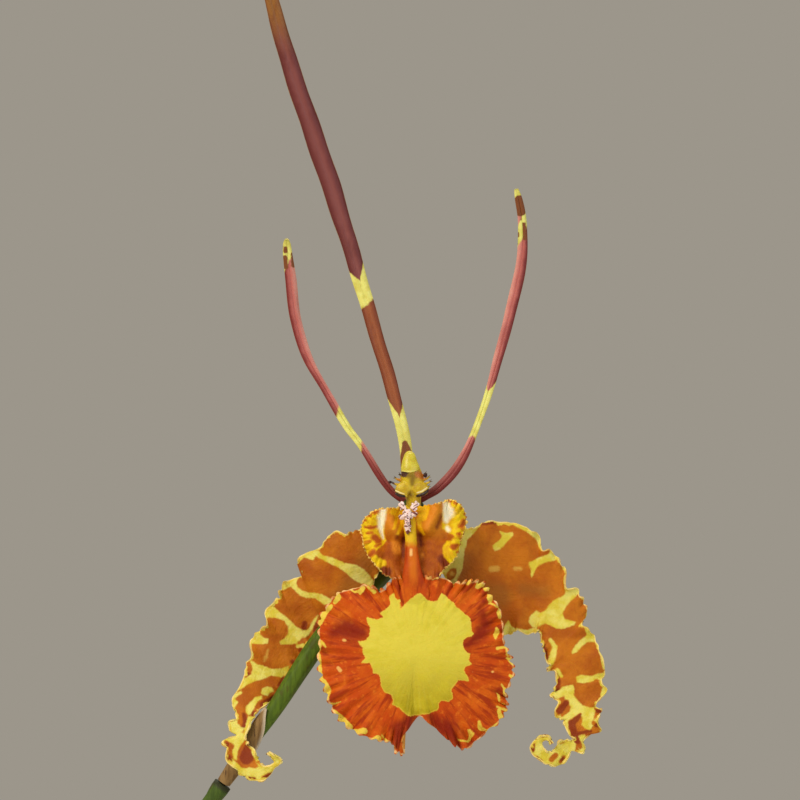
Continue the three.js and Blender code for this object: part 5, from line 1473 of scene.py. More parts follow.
def side_paint():
    paint = Paint("side_lobe_velvet", roughness=0.55, specular=0.18, glow=0.1)
    low = paint.mottled(2.5, 3, 0.35, 0.65, "B45E02", "9A4602")
    low = paint.mix(paint.step(paint.field("height"), 520, 545), "D28412", low)
    # Painted highlights on the crests and by the claw
    low = paint.mix(paint.mark("light", 1.2, 1, -3, 2.5), low, "DC8620")
    # Dark red blotches, partly painted shade beside the claw and behind the right crest
    dark = paint.mark("dark", 1.5, 1.2, -2.5, 2)
    low = paint.over(low, "6A2008", dark, 0.85)
    low = paint.mix(paint.mark("gold", 1.0, 0.7, -1.2, 1), low, "EAB204")
    yellow = paint.mottled(1.5, 3, 0.4, 0.65, "E8C60C", "D6A604")
    spots = paint.wobbled(paint.wobbled(paint.field("blobs"), 0.8, 0.45), 0.8, 1.0)
    yellow = paint.mix(paint.step(spots, -1.4, -0.1), yellow, "C87C0A")
    yellow = paint.mix(paint.step(spots, 0.2, 1.1), yellow, "AE5208")
    base = paint.mix(paint.mark("yellow", 1.5, 0.8, -1.4, 1.2), low, yellow)
    base = paint.mix(paint.mark("white", 1.2, 0.8, -2.4, 2), base, "F4EFD4")
    rim = paint.mark("edge", 0.4, 0.5, 1.3, 0.5)
    rim_tone = paint.mottled(0.9, 2, 0.5, 0.58, "F2CE6A", "9E4A0C")
    base = paint.over(base, rim_tone, rim, paint.field("free"))
    paint.colour(paint.mix(paint.field("under"), base, "C9A848"))
    paint.bump(petal_relief(paint, 0.3, 0.12))
    return paint


def make_side_lobe(paint, side, centre, outline, sign):
    points, edge = lobe(centre, outline, SIDE_GRID, side_depth(side, sign), SIDE_CRISP)
    pixels = to_picture(points)
    share = np.linspace(0, 1, points.shape[0])[:, None]
    shape = sheet(points, SIDE_THICKNESS * (1 - 0.4 * share**6), FORWARD, closed=True)
    marks = SIDE_MARKS[side]
    fields = {name: strokes(pixels, marks[name]) for name in marks}
    fields["yellow"] = patch(pixels, SIDE_YELLOW[side])
    fields["edge"] = edge_gap(points, edge)
    fields["free"] = smooth(sign * points[..., 0], 3, 6)
    fields["height"] = pixels[..., 1]
    add_piece(f"lip_side_lobe_{side}", shape, paint, ["lip"], FLOWER_AT, both_sides(fields, True))


# Claw of the lip
CLAW_GRID = (90, 32)  # steps along and sides
CLAW = [
    (-0.4, -0.4, -0.5, 1.2, 1.0), (-0.5, -2.9, -3.5, 1.3, 1.1), (-0.2, -4.0, -7, 1.15, 1.0),
    (0, -4.8, -11, 1.5, 0.9), (0.15, -5.0, -14.5, 2.2, 0.8), (0.5, -4.8, -17.5, 3.0, 0.55),
    (0.5, -4.35, -20, 2.6, 0.3),
]
# Painted highlights on the claw: a cream glint, and a lighter band down its middle along CLAW_LINE
CLAW_HIGHLIGHT = [[(411, 549, 0.7), (411, 554, 0.9)]]
CLAW_LINE = ([0, 7, 20], [-0.4, 0, 0.5])  # how far down, and how far to the side
CLAW_HALF = 1.4


def make_claw():
    paint = Paint("claw_orange", roughness=0.55, specular=0.16, glow=0.1)
    base = paint.mix(paint.step(paint.noise(1.2, 3, (1, 1, 0.15)), 0.35, 0.65), "BE4C04", "A63602")
    # Painted highlight down the middle of the claw
    base = paint.mix(paint.step(paint.field("ridge_highlight"), 0.9, 0.2), base, "CE6A12")
    base = paint.mix(paint.step(paint.field("low"), 570, 592), base, lip_ground(paint))
    base = paint.mix(paint.mark("low", 3, 1, 548, 538), base, "DCB41C")
    # Painted highlight: a cream glint
    base = paint.mix(paint.step(paint.field("pale"), -1.6, 0.8), base, "F2C67C")
    paint.colour(base)
    paint.bump(petal_relief(paint, 0.4, 0.08))
    verts, faces = tube(CLAW, *CLAW_GRID)
    fields = lip_marks(verts)
    fields["ridge_highlight"] = np.abs(verts[:, 0] - np.interp(-verts[:, 2], *CLAW_LINE)) / CLAW_HALF
    fields["pale"] = strokes(to_picture(verts), CLAW_HIGHLIGHT)
    add_piece("lip_claw", (verts, faces), paint, ["lip"], FLOWER_AT, fields)


# Crest of the lip
CALLUS_DARK = [
    [(408, 531.8, 2.2)], [(398.5, 517.5, 1), (401, 514.5, 0.6)], [(413, 511.5, 0.8), (416.5, 514, 1.3)],
    [(410.4, 518.5, 0.8), (410.6, 524, 0.9)], [(404, 525.5, 0.7), (407.5, 525.6, 0.8)],
    [(403, 513.5, 0.5), (405, 511, 0.5)], [(405, 516.5, 0.6), (408, 516.5, 0.6)],
    [(405.5, 519.5, 0.5), (407.5, 520.5, 0.6)], [(401, 503.6, 0.5), (403.5, 505.5, 0.5)],
    [(413.5, 505.8, 0.4), (417.5, 503.6, 0.5)], [(399, 506.2, 0.4), (402, 508, 0.5)],
    [(414, 508, 0.4), (418, 506, 0.5)],
]
CALLUS_LUMPS = [  # place, radii, turn
    ((-0.9, -4.3, -1.9), (1.05, 1.2, 1.15), (0, 0, 0)),
    ((-1.95, -4.2, -0.2), (0.52, 0.3, 0.95), (0, -0.95, 0)),
    ((0.55, -4.2, -0.1), (0.5, 0.3, 1.05), (0, 1.05, 0)),
    ((0.5, -4.5, -1.8), (0.55, 0.5, 0.4), (0, -0.3, 0)),
    ((-2.05, -4.6, -2.3), (0.55, 0.5, 0.36), (0, 0.4, 0)),
    ((-0.85, -4.9, -4.0), (0.66, 0.8, 1.65), (0.15, 0, 0)),
]
WARTS = 16  # on each lump
WART_RADII = (0.16, 0.28)
CALLUS_MELT = (0.08, 1)  # the size of a voxel and the rounds of smoothing


def make_callus():
    rng = np.random.default_rng(11)
    paint = Paint("callus_pink", roughness=0.38, specular=0.5, glow=0.15)
    base = paint.mottled(0.8, 3, 0.35, 0.65, "F6E2DA", "EBC9BE")
    spot = paint.step(paint.wobbled(paint.cells(0.62, (1, 1, 1.5)), 0.2, 0.3), 0.36, 0.27)
    base = paint.over(base, "54142A", spot, paint.field("spotted"))
    base = paint.mix(paint.mark("dark", 0.7, 0.4, -0.5, 0.5), base, "6A2418")
    paint.colour(base)
    paint.bump(paint.times(paint.noise(0.25, 2), 0.06))
    shapes = [ball(*lump) for lump in CALLUS_LUMPS]
    for at, radii, _ in CALLUS_LUMPS:
        for _ in range(WARTS):
            way = unit(rng.normal(size=3) * [1, 0.8, 1])
            way[1] = -abs(way[1])
            place = np.asarray(at) + way * radii * 0.92
            shapes.append(ball(place, [rng.uniform(*WART_RADII)] * 3, detail=(12, 8)))
    verts, faces = fused(shapes, *CALLUS_MELT)
    pixels = to_picture(verts)
    fields = {"dark": strokes(pixels, CALLUS_DARK), "spotted": smooth(pixels[:, 1], 503, 510)}
    add_piece("lip_crest", (verts, faces), paint, ["lip_callus"], FLOWER_AT, fields)


mid_paint = lip_paint()
lobe_paint = side_paint()
make_mid_lobe(mid_paint)
make_side_lobe(lobe_paint, "left", LEFT_CENTRE, LEFT_OUTLINE, -1)
make_side_lobe(lobe_paint, "right", RIGHT_CENTRE, RIGHT_OUTLINE, 1)
make_claw()
make_callus()

# Lateral sepals: each rung holds the outer and the inner edge in the picture, then depth and set-back
SEPAL_GRID = (8, 64)  # steps from rung to rung and across
SEPAL_RUN = 0.12  # how slowly its grain changes along it
SEPAL_CRISP = {"deep": 0.5, "wide": 0.2, "length": 2.7, "wave": 6.2, "swing": 0.45}
SEPAL_LEFT = [
    (406, 502, 412, 511, 2.8, 0, 0), (385, 514, 398, 545, 2.7, 0, 0.1), (366, 528, 386, 565, 2.9, 0.2, 0.2),
    (357, 530.5, 377, 576, 3.4, 0.3, 0.2), (345, 534, 369, 592, 4, 0.5, 0),
    (335.5, 531.5, 357, 602, 4.7, 0.6, -0.2), (326, 539, 347, 610, 5.4, 0.8, -0.4),
    (319, 549, 337, 615, 6.2, 0.8, -0.3), (308, 553, 328, 619, 7, 0.8, -0.2),
    (299, 558, 324, 619, 7.7, 0.7, 0.2), (297, 565, 322, 624, 8.3, 0.6, 0.2),
    (303, 576, 320, 630, 8.7, -0.2, -0.2), (292, 579.5, 317, 635, 8.9, 0.5, -0.5),
    (285, 583, 313, 640, 9, 1, -0.8), (279.5, 591, 309, 644, 8.9, 0.6, -1),
    (277, 600, 306, 649, 8.8, -0.2, -1.2), (268.5, 606, 303, 654, 8.8, 0.6, -1),
    (265, 615, 300, 660, 8.8, 1, -0.6), (264.5, 626, 296.5, 665, 8.6, -0.3, -0.4),
    (255, 635, 293, 670, 8.4, 0.6, -0.4), (249, 644, 289.5, 676, 8.1, 1, -0.4),
    (250.5, 656, 286, 682, 7.5, 0, -0.3), (245.5, 665, 282, 689, 6.7, 0.6, 0),
    (243, 677, 277.5, 696, 5.9, 0, 0.3), (238.5, 688, 271, 703, 5, 0.6, 0.4),
    (232, 699, 264.5, 707, 4.1, 1, 0), (232, 707, 257, 713, 3.3, 0.6, -0.6),
    (236, 718, 253, 720, 2.6, -0.2, -0.8), (228, 722, 249.5, 727, 2, 0.8, -0.6),
    (230, 731, 247, 733, 1.5, 0.4, -0.4), (236, 735.5, 246, 738, 1, -0.2, -0.3),
    (223, 741, 247, 742, 0.6, 0.6, -0.2), (226, 750, 250, 747, 0.1, 0.2, 0),
    (227, 760, 255, 751, -0.5, 0.6, 0.1), (236, 770, 258, 756, -1.2, 0.3, 0.2),
    (248, 778.5, 259, 760, -1.8, 0.5, 0.2), (262, 780.5, 263, 764, -2.3, 0.4, 0.2),
    (270, 774.5, 268, 764.5, -2.7, 0.2, 0.1), (275, 767, 272, 763.5, -3, 0, 0),
    (282, 762, 274.5, 761, -3.2, 0, 0), (282, 758, 272, 757, -3.4, 0, 0),
    (276, 754, 269.5, 754.5, -3.6, 0, 0), (270, 750.5, 266.5, 752.5, -3.7, 0, 0),
]
SEPAL_RIGHT = [
    (418, 502, 411, 512, 2.8, 0, 0), (440, 518, 427, 547, 3, 0, 0.2), (466, 528.5, 446, 580, 4, 0.3, 0.4),
    (478, 526, 463, 606, 4.8, 0.4, 0.6), (490, 521, 482, 630, 5.4, 0.8, 0.6),
    (502, 523, 500, 636, 5.8, 0.4, 0.6), (515, 523.5, 511, 635.5, 6, 0.8, 0.2),
    (529, 529, 518, 631.5, 6.1, 0.4, -0.4), (540, 538, 527, 636, 6.1, 0.9, 0.2),
    (543, 549.5, 534, 634.5, 6, -0.2, -0.2), (551, 551, 537, 633, 5.8, 0.6, -0.4),
    (560, 561, 538.5, 632, 5.6, 0.8, -0.4), (566, 572, 540, 634, 5.4, 0.2, -0.3),
    (567.5, 587, 541, 638, 5.2, -0.2, -0.2), (577, 589.5, 542, 643, 5, 0.8, 0),
    (584, 601, 543.5, 649, 4.7, 0.6, 0.3), (588, 614.5, 545.5, 656, 4.4, 0.8, 0.6),
    (582.5, 626, 547.5, 662, 4.2, -0.4, 0.4), (591, 631, 549.5, 667, 3.9, 0.8, 0),
    (597.5, 643, 547.5, 671, 3.7, 0.6, 0.6), (600.5, 652, 555.5, 673, 3.4, -0.2, -0.4),
    (604, 662, 556.5, 681, 3.1, 0.6, 0.2), (605.5, 676, 555, 689, 2.8, 0.8, 0.6),
    (602, 681, 551, 697.5, 2.6, -0.4, 0.2), (607.2, 691, 558, 702, 2.3, 0.8, -0.4),
    (602, 698.5, 554.5, 711, 2, 0, 0.5), (595.5, 706, 557, 718.5, 1.7, -0.3, 0.4),
    (602.5, 711, 563, 720.5, 1.4, 0.6, -0.2), (598, 720, 564.5, 727, 1.1, -0.2, 0.2),
    (602.5, 731, 568, 733, 0.8, 0.7, 0), (592, 733.5, 572, 737, 0.4, -0.2, 0.2),
    (584, 741, 573.5, 740, 0.1, 0, 0), (584.5, 753, 569, 740, -0.3, 0.3, 0),
    (573, 751, 563, 739.5, -0.6, 0, 0), (567.5, 757, 558.5, 741, -1, 0.2, -0.2),
    (559, 765.5, 555, 747.5, -1.3, 0.3, -0.2), (548, 764.5, 550.5, 751, -1.5, 0.3, -0.2),
    (536, 757.5, 545.5, 749.5, -1.7, 0.3, 0), (530.5, 748, 543, 746, -1.9, 0.3, 0),
    (534, 740, 542, 742, -2.1, 0.2, 0), (541, 734.5, 545, 739.5, -2.3, 0, 0),
    (548.5, 735, 548, 740.5, -2.5, 0, 0), (553, 742.5, 549.5, 744, -2.7, 0, 0),
]
SEPAL_MARKS = {
    "left": {
        "bars": [
            [(297.3, 563.7), (298.6, 559), (303.4, 552.9), (311.2, 552.2), (317.7, 551.1), (323.2, 556.3),
             (333.4, 558.5), (344.5, 563.7), (355.6, 565.1), (363, 569.2), (368.6, 574.8), (373.7, 583.1),
             (374.1, 586.8), (368.6, 586.2), (361.2, 584), (351.9, 578.8), (347.3, 573.8), (339, 568.3),
             (329.7, 563.7), (321.4, 559.6), (315.8, 556.6), (313.1, 560.9), (308.4, 560), (303.8, 558.5),
             (301, 560.9)],
            [(279, 592), (282, 585.9), (286.2, 580.3), (292.7, 578), (299.2, 578), (296.4, 581.2),
             (295.8, 584.9), (297.3, 588.6), (302, 592.3), (307.5, 593.6), (314.9, 593.6), (322.3, 595.5),
             (329.7, 599.7), (333.4, 600.7), (328.8, 605.3), (324.2, 605.3), (318.6, 601), (314.9, 598.8),
             (306.6, 599.2), (300.1, 597), (294.6, 592.3), (290.9, 588.6), (288.1, 588.6), (284.4, 590.5)],
            [(268.5, 604), (265, 613.6), (264, 621), (267.7, 619.2), (276, 619.5), (283.5, 621.9),
             (287.5, 628.4), (287.5, 635.8), (283.5, 640.4), (278.8, 643.2), (279.8, 646), (288.1, 646),
             (296.4, 644.7), (302, 639.5), (303.4, 635.8), (301, 631.2), (296.4, 629.3), (291.8, 624.7),
             (287.2, 620.1), (281.6, 615.5), (276, 610.8), (272.7, 608), (274.2, 604.7)],
            [(263.5, 621), (260.3, 628.4), (259, 635.8), (262.7, 639.5), (267.7, 640.4), (266.8, 645),
             (261.3, 646), (254.8, 646), (248, 646), (250, 640), (254.8, 635), (256.6, 630), (259.4, 624)],
            [(248.3, 660.8), (251.1, 665.4), (252, 671), (250.2, 676.5), (245.5, 679.8), (242.4, 679.3),
             (240, 682), (237, 687), (234.5, 694), (240, 690.4), (245.5, 686.7), (253.9, 683),
             (261.3, 681.1), (270.5, 677.4), (279.8, 679.3), (285.3, 677.4), (287.2, 672.8), (289, 667.3),
             (285.3, 668.7), (279.8, 671), (270.5, 671), (263.1, 668.2), (256.6, 666.3), (252, 662.6)],
            [(260.3, 695), (261.3, 690.4), (266.8, 688.5), (271.4, 689.5), (272.4, 693.2), (268.7, 694.1),
             (266.8, 696.9), (264, 696.9)],
            [(245.5, 713.5), (245.5, 708), (249.2, 704.3), (254.8, 698.7), (260.3, 697.8), (261.3, 700.6),
             (256.6, 703.3), (253.9, 709.8), (251.1, 714.4), (248.3, 716.3)],
            [(226, 721), (228, 718), (236.3, 720), (237.2, 724.6), (240.9, 728.3), (244.6, 729.2),
             (242.8, 732), (237.2, 735), (230, 733), (227, 728.3)],
            [(248.3, 717.2), (252.9, 718.1), (253.9, 721.8), (251.1, 726.5), (248.3, 732), (246.5, 737.6),
             (244.6, 736.6), (245.5, 730.2), (246.5, 722.8)],
            [(237, 732), (244.6, 733.9), (245.5, 739.4), (240.9, 745), (238.1, 750.5), (237.2, 759.8),
             (234.4, 758.8), (232.6, 752.4), (232.6, 745), (226.1, 742.2), (221, 741.3), (225.2, 739),
             (233.5, 737)],
            [(317.7, 616.4), (316.8, 621), (314, 625.6), (311.2, 632.1), (306.6, 637.7), (303.8, 639.5),
             (301, 637.7), (302, 633), (305.7, 632.1), (308.4, 630.2), (311.2, 624.7), (314.9, 619.2)],
        ],
        "lines": [
            [(247, 772, 5), (258, 774, 5.5), (268, 768, 6), (276, 765, 6), (283, 759, 4), (272, 753, 3)],
            [(252, 750, 2), (257, 755, 3), (261, 762, 4)], [(232, 762, 3), (240, 771, 4)],
            [(230, 699, 2), (236, 704, 1.6), (232, 710, 1.6), (235, 716, 1.6)],
            [(297, 648, 1.4), (303, 647, 1.4), (306, 652, 1.4), (301, 656, 1.4)],
            [(240, 694, 1.4), (233, 699, 1.6)],
        ],
        "dark": [[(243.5, 716, 2), (245, 722, 2.2), (243.5, 729, 1.8)], [(304, 625, 2.6), (303, 632, 2.4)],
                 [(316, 624, 1.8), (315, 633, 2)], [(301, 651.5, 2.6)], [(247, 676, 2)], [(292, 664, 2.4)],
                 [(282, 680, 1.6), (279, 687, 2)], [(275, 697, 2.2), (262, 706, 2.5)],
                 [(250, 712, 2), (254, 716, 2.5)], [(247, 748, 3), (247, 757, 7)], [(227, 745, 2)],
                 [(229, 757, 2.2), (232, 760, 1.6)], [(266, 777, 2.5), (271, 773, 3)],
                 [(250, 777, 1.6), (255, 777, 1.6)]],
        "brown": [[(246.5, 744, 2), (247, 751, 5), (246.5, 760, 8)], [(226, 745, 4), (231, 747, 3.5)],
                  [(227, 757, 3), (231, 760, 2)], [(265, 777, 3), (272, 773, 3)],
                  [(249, 778, 2.4), (255, 778, 2)], [(258, 762, 1.6), (265, 764, 1)],
                  [(274, 764.5, 0.8), (279, 763, 0.8)], [(301, 651.5, 2.4)]],
        "faint": [[(267, 652, 1), (265, 659, 1.6), (263, 663, 1.2)]],
        # painted shade where the sepal passes behind the lip
        "lip_shade": [[(370, 560, 14), (352, 585, 12), (338, 600, 8)], [(386, 572, 10)]],
    },
    "right": {
        "bars": [
            [(463, 527), (480, 525), (473, 533.9), (466.8, 540.2), (465.9, 546.4), (464.1, 551.8),
             (463.2, 560.7), (462.3, 568.8), (458.8, 576.8), (455.2, 585), (450, 588), (451.6, 581.3),
             (456.1, 576.8), (457.9, 569.7), (454.3, 568), (449.8, 569), (445.4, 575.9), (440.9, 580),
             (436, 574), (443.6, 566), (449.8, 560), (455.2, 554), (458, 546.4), (460, 537)],
            [(499.8, 532.1), (503.4, 533), (507, 533.9), (513.2, 533), (514.1, 535.7), (509.7, 540.2),
             (506.1, 543.8), (503.4, 547.3), (498, 550.9), (494.5, 551.4), (492.7, 546.4), (497.2, 542.9),
             (501.6, 539.3), (502.5, 536.6)],
            [(529.3, 563.4), (534.7, 561.6), (541.8, 558), (548.9, 554.5), (551.6, 550), (558, 554),
             (560, 559.5), (554.3, 561.6), (547.2, 562.5), (540.9, 565.2), (537.3, 568.8), (534.7, 573.2),
             (532, 578.6), (531.4, 573.2), (532.5, 569.7), (530.2, 567.9)],
            [(567, 586), (573.1, 588), (579, 589.5), (579.3, 594.7), (575.7, 598.2), (571.3, 601.8),
             (566.8, 607.2), (563.2, 614.3), (565, 619.7), (570.4, 621.4), (576.6, 623.2), (574.8, 625.9),
             (569.5, 627.7), (565, 629.5), (557.9, 629.5), (550.7, 625.9), (545.4, 624.1), (540, 626.8),
             (537.3, 629.5), (532.9, 627.7), (529.3, 623.2), (530.2, 617.9), (533.8, 614.3), (538.2, 611.6),
             (541.8, 614.3), (547.2, 610.7), (549.8, 606.3), (554.3, 601.8), (561.4, 598.2),
             (565.9, 594.7)],
            [(585.6, 629), (592.5, 630), (597, 635.7), (599, 643.5), (593.6, 642.9), (588.2, 642.9),
             (582.9, 646.5), (577.5, 652.7), (573.1, 654.5), (572.2, 652.7), (576.6, 645.6), (582.9, 639.3),
             (587.4, 635.7)],
            [(576.6, 677.7), (581.1, 675.9), (591.8, 676.8), (599, 674.1), (607, 674), (608, 679),
             (603.4, 682), (597.2, 680.4), (591.8, 683), (582.9, 684), (577.5, 683)],
            [(563.2, 687.5), (568.6, 686.6), (573.1, 685.7), (574.8, 689.3), (574, 696.5), (578.4, 701.8),
             (582.9, 706.3), (590, 708.1), (593.6, 708.1), (595.4, 712.5), (594, 717.9), (593.2, 725),
             (590, 730.4), (584.7, 728.6), (582, 725), (582.9, 719.7), (581.1, 714.3), (577.5, 716.1),
             (572.2, 719.7), (569.5, 725), (569.5, 730.4), (573.1, 734.9), (574.8, 737.5), (575.7, 744.7),
             (574, 752), (566, 752), (563, 746), (557, 744), (560, 739), (566, 736), (565, 730.4),
             (562, 726), (562, 718.8), (565, 716.1), (570.4, 712.5), (571.3, 707.2), (565.9, 700.9),
             (565, 696.5), (561.4, 698.2), (556.1, 700), (551, 698), (553, 692), (559.7, 691.1)],
            [(502.5, 634), (506.1, 625), (508.8, 621.4), (511.4, 625.9), (515, 629.5), (520.4, 630.4),
             (527.5, 631.3), (532.9, 629.5), (537.3, 629.5), (541, 633), (534.7, 637), (527.5, 638),
             (518.6, 637), (511.4, 638), (505, 639), (497, 640), (494, 636)],
            [(529, 735), (541, 731), (549, 733), (556, 742), (566, 738), (572, 752), (562, 769), (545, 770),
             (530, 760), (526, 748)],
        ],
        "lines": [[(551, 641, 1.6), (556, 648, 2.4), (554, 657, 3), (550, 666, 2.4)],
                  [(558, 671, 1.5), (562, 677, 1.5)], [(598.5, 645, 2), (603, 655, 2.2), (605, 668, 2)],
                  [(606, 687, 3), (604, 696, 3)], [(582, 737, 3), (582, 747, 4), (584, 754, 3)],
                  [(600, 719, 1), (596, 721, 1.6), (602, 731, 2.4)],
                  [(516, 524.5, 2), (528, 530, 2.4), (538, 538, 2.4), (542, 548, 1.8)],
                  [(552, 703, 1.6), (558, 714, 1.6), (563, 724, 1.4)]],
        "dark": [[(541, 641, 1.8), (545, 652, 2.6), (548, 660, 2.2)],
                 [(557, 675, 2.4), (559, 683, 2.6), (557, 690, 2)],
                 [(580.5, 716, 1.6), (572, 724, 3.4), (573, 731, 3.6), (577, 741, 3)],
                 [(577, 735, 2), (590, 731.5, 1.6)], [(553, 699, 2.4)], [(560, 711, 3.4), (566, 704, 2.6)],
                 [(598, 711, 2.6)], [(597, 725, 2.2)], [(550.5, 740, 1.6), (553.5, 746, 1.8)],
                 [(533, 744, 2), (532.5, 749, 2.4)], [(538, 759, 2.6)], [(562, 759, 2.6)],
                 [(544, 734, 2.4)], [(479, 524.5, 1.6), (496, 523, 1.4), (512, 524.5, 1.4)]],
        "brown": [
            [(559, 712, 4), (566, 704, 4)], [(553, 699.5, 2.4)],
            [(580.5, 715, 1.6), (571.5, 723, 3.4), (572, 731, 3.6), (577, 741, 3.4), (580, 747, 2.4)],
            [(577, 735, 2.2), (592, 731.5, 1.8)], [(599, 709, 3), (598, 715, 3.4)],
            [(594, 723, 2.4), (599, 727, 3.4)], [(533, 742, 2.6), (532.5, 749, 3)],
            [(536, 757, 2.6), (540.5, 761.5, 2.6)], [(551, 759, 3), (555, 755, 3)],
            [(561, 760.5, 3), (563, 757, 2.6)], [(542, 735, 2), (547, 733.5, 2)],
            [(550.5, 740, 1.6), (553.5, 746, 1.8)], [(560, 742.5, 1), (567, 740.5, 1)],
        ],
        "faint": [[(491, 570, 2.5), (497, 569.5, 3)], [(515, 569.5, 1.8), (521, 569.5, 2)],
                  [(452, 574, 2.5)]],
        # painted shade where the sepal passes behind the lip
        "lip_shade": [[(462, 560, 10), (455, 582, 12)], [(475, 590, 10), (500, 596, 14)],
                  [(524, 590, 8), (545, 592, 7)]],
    },
}


def sepal_paint():
    paint = Paint("sepal_velvet", roughness=0.58, specular=0.16, glow=0.1)
    ground = paint.mottled(5, 4, 0.35, 0.68, "BE6E0E", "A65406")
    ground = paint.over(ground, "963F02", paint.step(paint.noise(1.6, 4), 0.5, 0.75), 0.35)
    # Painted shade: olive-brown ground and duller yellow bars where the sepal passes behind the lip
    lip_shade = paint.step(paint.field("lip_shade"), -6, 10)
    ground = paint.over(ground, "8A5A1C", lip_shade, 0.55)
    dark = paint.mark("dark", 0.9, 0.7, -1.4, 0.9)
    ground = paint.over(ground, "7C2606", dark, 0.85)
    yellow = paint.mottled(2.2, 3, 0.35, 0.65, "DED468", "D0BE38")
    yellow = paint.over(yellow, "B8B066", lip_shade, 0.5)
    bars = paint.mark("yellow", 1.0, 0.6, -1.2, 0.9)
    base = paint.mix(bars, ground, yellow)
    faint = paint.mark("faint", 1.4, 0.7, -1.5, 1.5)
    base = paint.over(base, "D8B24C", faint, 0.6)
    margin = paint.math("SUBTRACT", paint.wobbled(1.8, 6.0, 1.5, 2), paint.field("edge"))
    base = paint.mix(paint.step(margin, -0.8, 1.2), base, "D6BE3E")
    rim = paint.mark("edge", 0.6, 0.5, 1.5, 0.5)
    rim = paint.times(rim, paint.step(paint.noise(3, 2), 0.38, 0.52, (0.2, 0.9)))
    base = paint.mix(rim, base, "F0D688")
    below = paint.mix(bars, "B88A3C", "D6CC6C")
    base = paint.mix(paint.field("under"), base, below)
    paint.colour(base)
    veins = paint.noise(0.55, 3, (1, 1, 1), 0.5, at=sepal_grain(paint))
    paint.bump(paint.math("ADD", petal_relief(paint, 0.35, 0.1), paint.times(veins, 0.12)))
    return paint


def sepal_grain(paint):
    """A place whose first part crosses the sepal and whose second runs slowly along it."""
    node = paint.tree.nodes.new("ShaderNodeCombineXYZ")
    paint.join(paint.field("across"), node.inputs[0])
    paint.join(paint.field("along"), node.inputs[1])
    return node.outputs[0]


def make_sepal(paint, side, rungs, shift):
    points, s, v, w = rung_blade(rungs, *SEPAL_GRID, shift, SEPAL_CRISP)
    pixels = to_picture(points)
    marks = SEPAL_MARKS[side]
    yellow = np.maximum(patches(pixels, marks["bars"]), strokes(pixels, marks["lines"]))
    yellow = np.minimum(yellow, -strokes(pixels, marks["brown"]))
    ends = np.minimum(s, s[-1, 0] - s) + 1.0
    fields = {
        "yellow": yellow, **{name: strokes(pixels, marks[name]) for name in ("dark", "faint", "lip_shade")},
        "edge": np.minimum((1 - np.abs(v)) * w, ends) / PICTURE_SCALE,
        "across": v * w, "along": s * SEPAL_RUN,
    }
    shape = sheet(points, TEPAL_THICKNESS * (1 - 0.5 * np.abs(v) ** 6), FORWARD)
    nodes = [f"lateral_sepal_{side}"]
    add_piece(f"sepal_{side}", shape, paint, nodes, FLOWER_AT, both_sides(fields))


barred = sepal_paint()
make_sepal(barred, "left", SEPAL_LEFT, 0.4)
make_sepal(barred, "right", SEPAL_RIGHT, 1.2)

# Petals and dorsal sepal: place, the face's turn to the side and up, half width and roll
STRAP_GRID = (260, 22)  # steps along and across
STRAP_RUN = 0.1  # how slowly a strap's grain changes along it
STRAP_WAVE = {"length": 17, "height": 0.1, "sway": 0.08, "keel": 0.22, "keel_half": 0.22}
PETAL_LEFT = [
    (-0.6, 2.2, 0.6, 0.3, 0, 0.7, 0.4), (-2.6, 1.9, 1.6, 0.3, 0, 0.75, 0.8),
    (-5.2, 1.9, 4.2, 0.4, 0, 0.75, 0.9), (-10.1, 2.4, 11.8, 0.5, 0, 0.8, 0.9),
    (-13.0, 3.0, 15.8, 0.5, 0, 0.8, 0.9), (-17.4, 4.0, 23.2, 0.5, 0, 0.85, 0.8),
    (-21.2, 4.8, 30.2, 0.3, 0, 1.05, 0.8), (-23.2, 5.0, 37.0, 0.2, 0, 1.15, 0.8),
    (-24.4, 4.6, 45.6, 0.1, 0, 1.15, 0.8), (-25.0, 3.6, 51.4, 0, 0, 0.85, 0.7),
    (-25.1, 2.8, 53.2, 0, 0, 0.4, 0.3),
]
PETAL_RIGHT = [
    (0.8, 2.2, 0.6, -0.2, 0, 0.7, 0.4), (2.8, 1.9, 1.8, -0.2, 0, 0.8, 0.8),
    (5.5, 1.8, 3.6, -0.2, 0, 0.95, 0.8), (8.9, 2.0, 7.5, -0.3, 0, 1.0, 0.9),
    (12.5, 2.4, 14.5, -0.4, 0, 0.75, 0.9), (15.7, 3.2, 24.0, -0.4, 0, 0.85, 0.9),
    (18.6, 4.0, 34.4, -0.2, 0, 1.1, 0.8), (20.7, 4.6, 42.6, -0.2, 0, 1.15, 0.8),
    (22.1, 4.6, 50.0, -0.1, 0, 1.1, 0.8), (22.2, 4.0, 56.0, 0, 0, 0.85, 0.8),
    (21.4, 3.2, 61.0, 0, 0, 0.75, 0.6), (20.9, 2.8, 63.3, 0, 0, 0.4, 0.3),
]
SEPAL_DORSAL = [
    (-0.3, 2.6, 1.2, 0, 0, 0.9, 0.3), (-0.9, 2.4, 6.0, 0, 0, 1.2, 0.6), (-1.4, 2.6, 12.4, 0, 0, 1.25, 0.6),
    (-3.75, 3.6, 22.4, 0, 0, 1.35, 0.6), (-6.6, 5.0, 32.0, 0, 0, 1.4, 0.6),
    (-9.65, 6.2, 42.4, 0, 0, 1.5, 0.6), (-12.9, 7.0, 53.4, 0, 0, 1.7, 0.6),
    (-16.7, 7.2, 65.4, 0, 0, 2.0, 0.6), (-20.4, 6.8, 76.2, 0, 0, 1.95, 0.6),
    (-24.4, 5.6, 88.0, 0, 0, 1.8, 0.6), (-27.8, 3.8, 99.8, 0, 0.1, 1.45, 0.5),
    (-29.8, 2.0, 107.6, 0, 0.2, 0.95, 0.4), (-30.8, 1.0, 111, 0, 0.2, 0.4, 0.2),
]
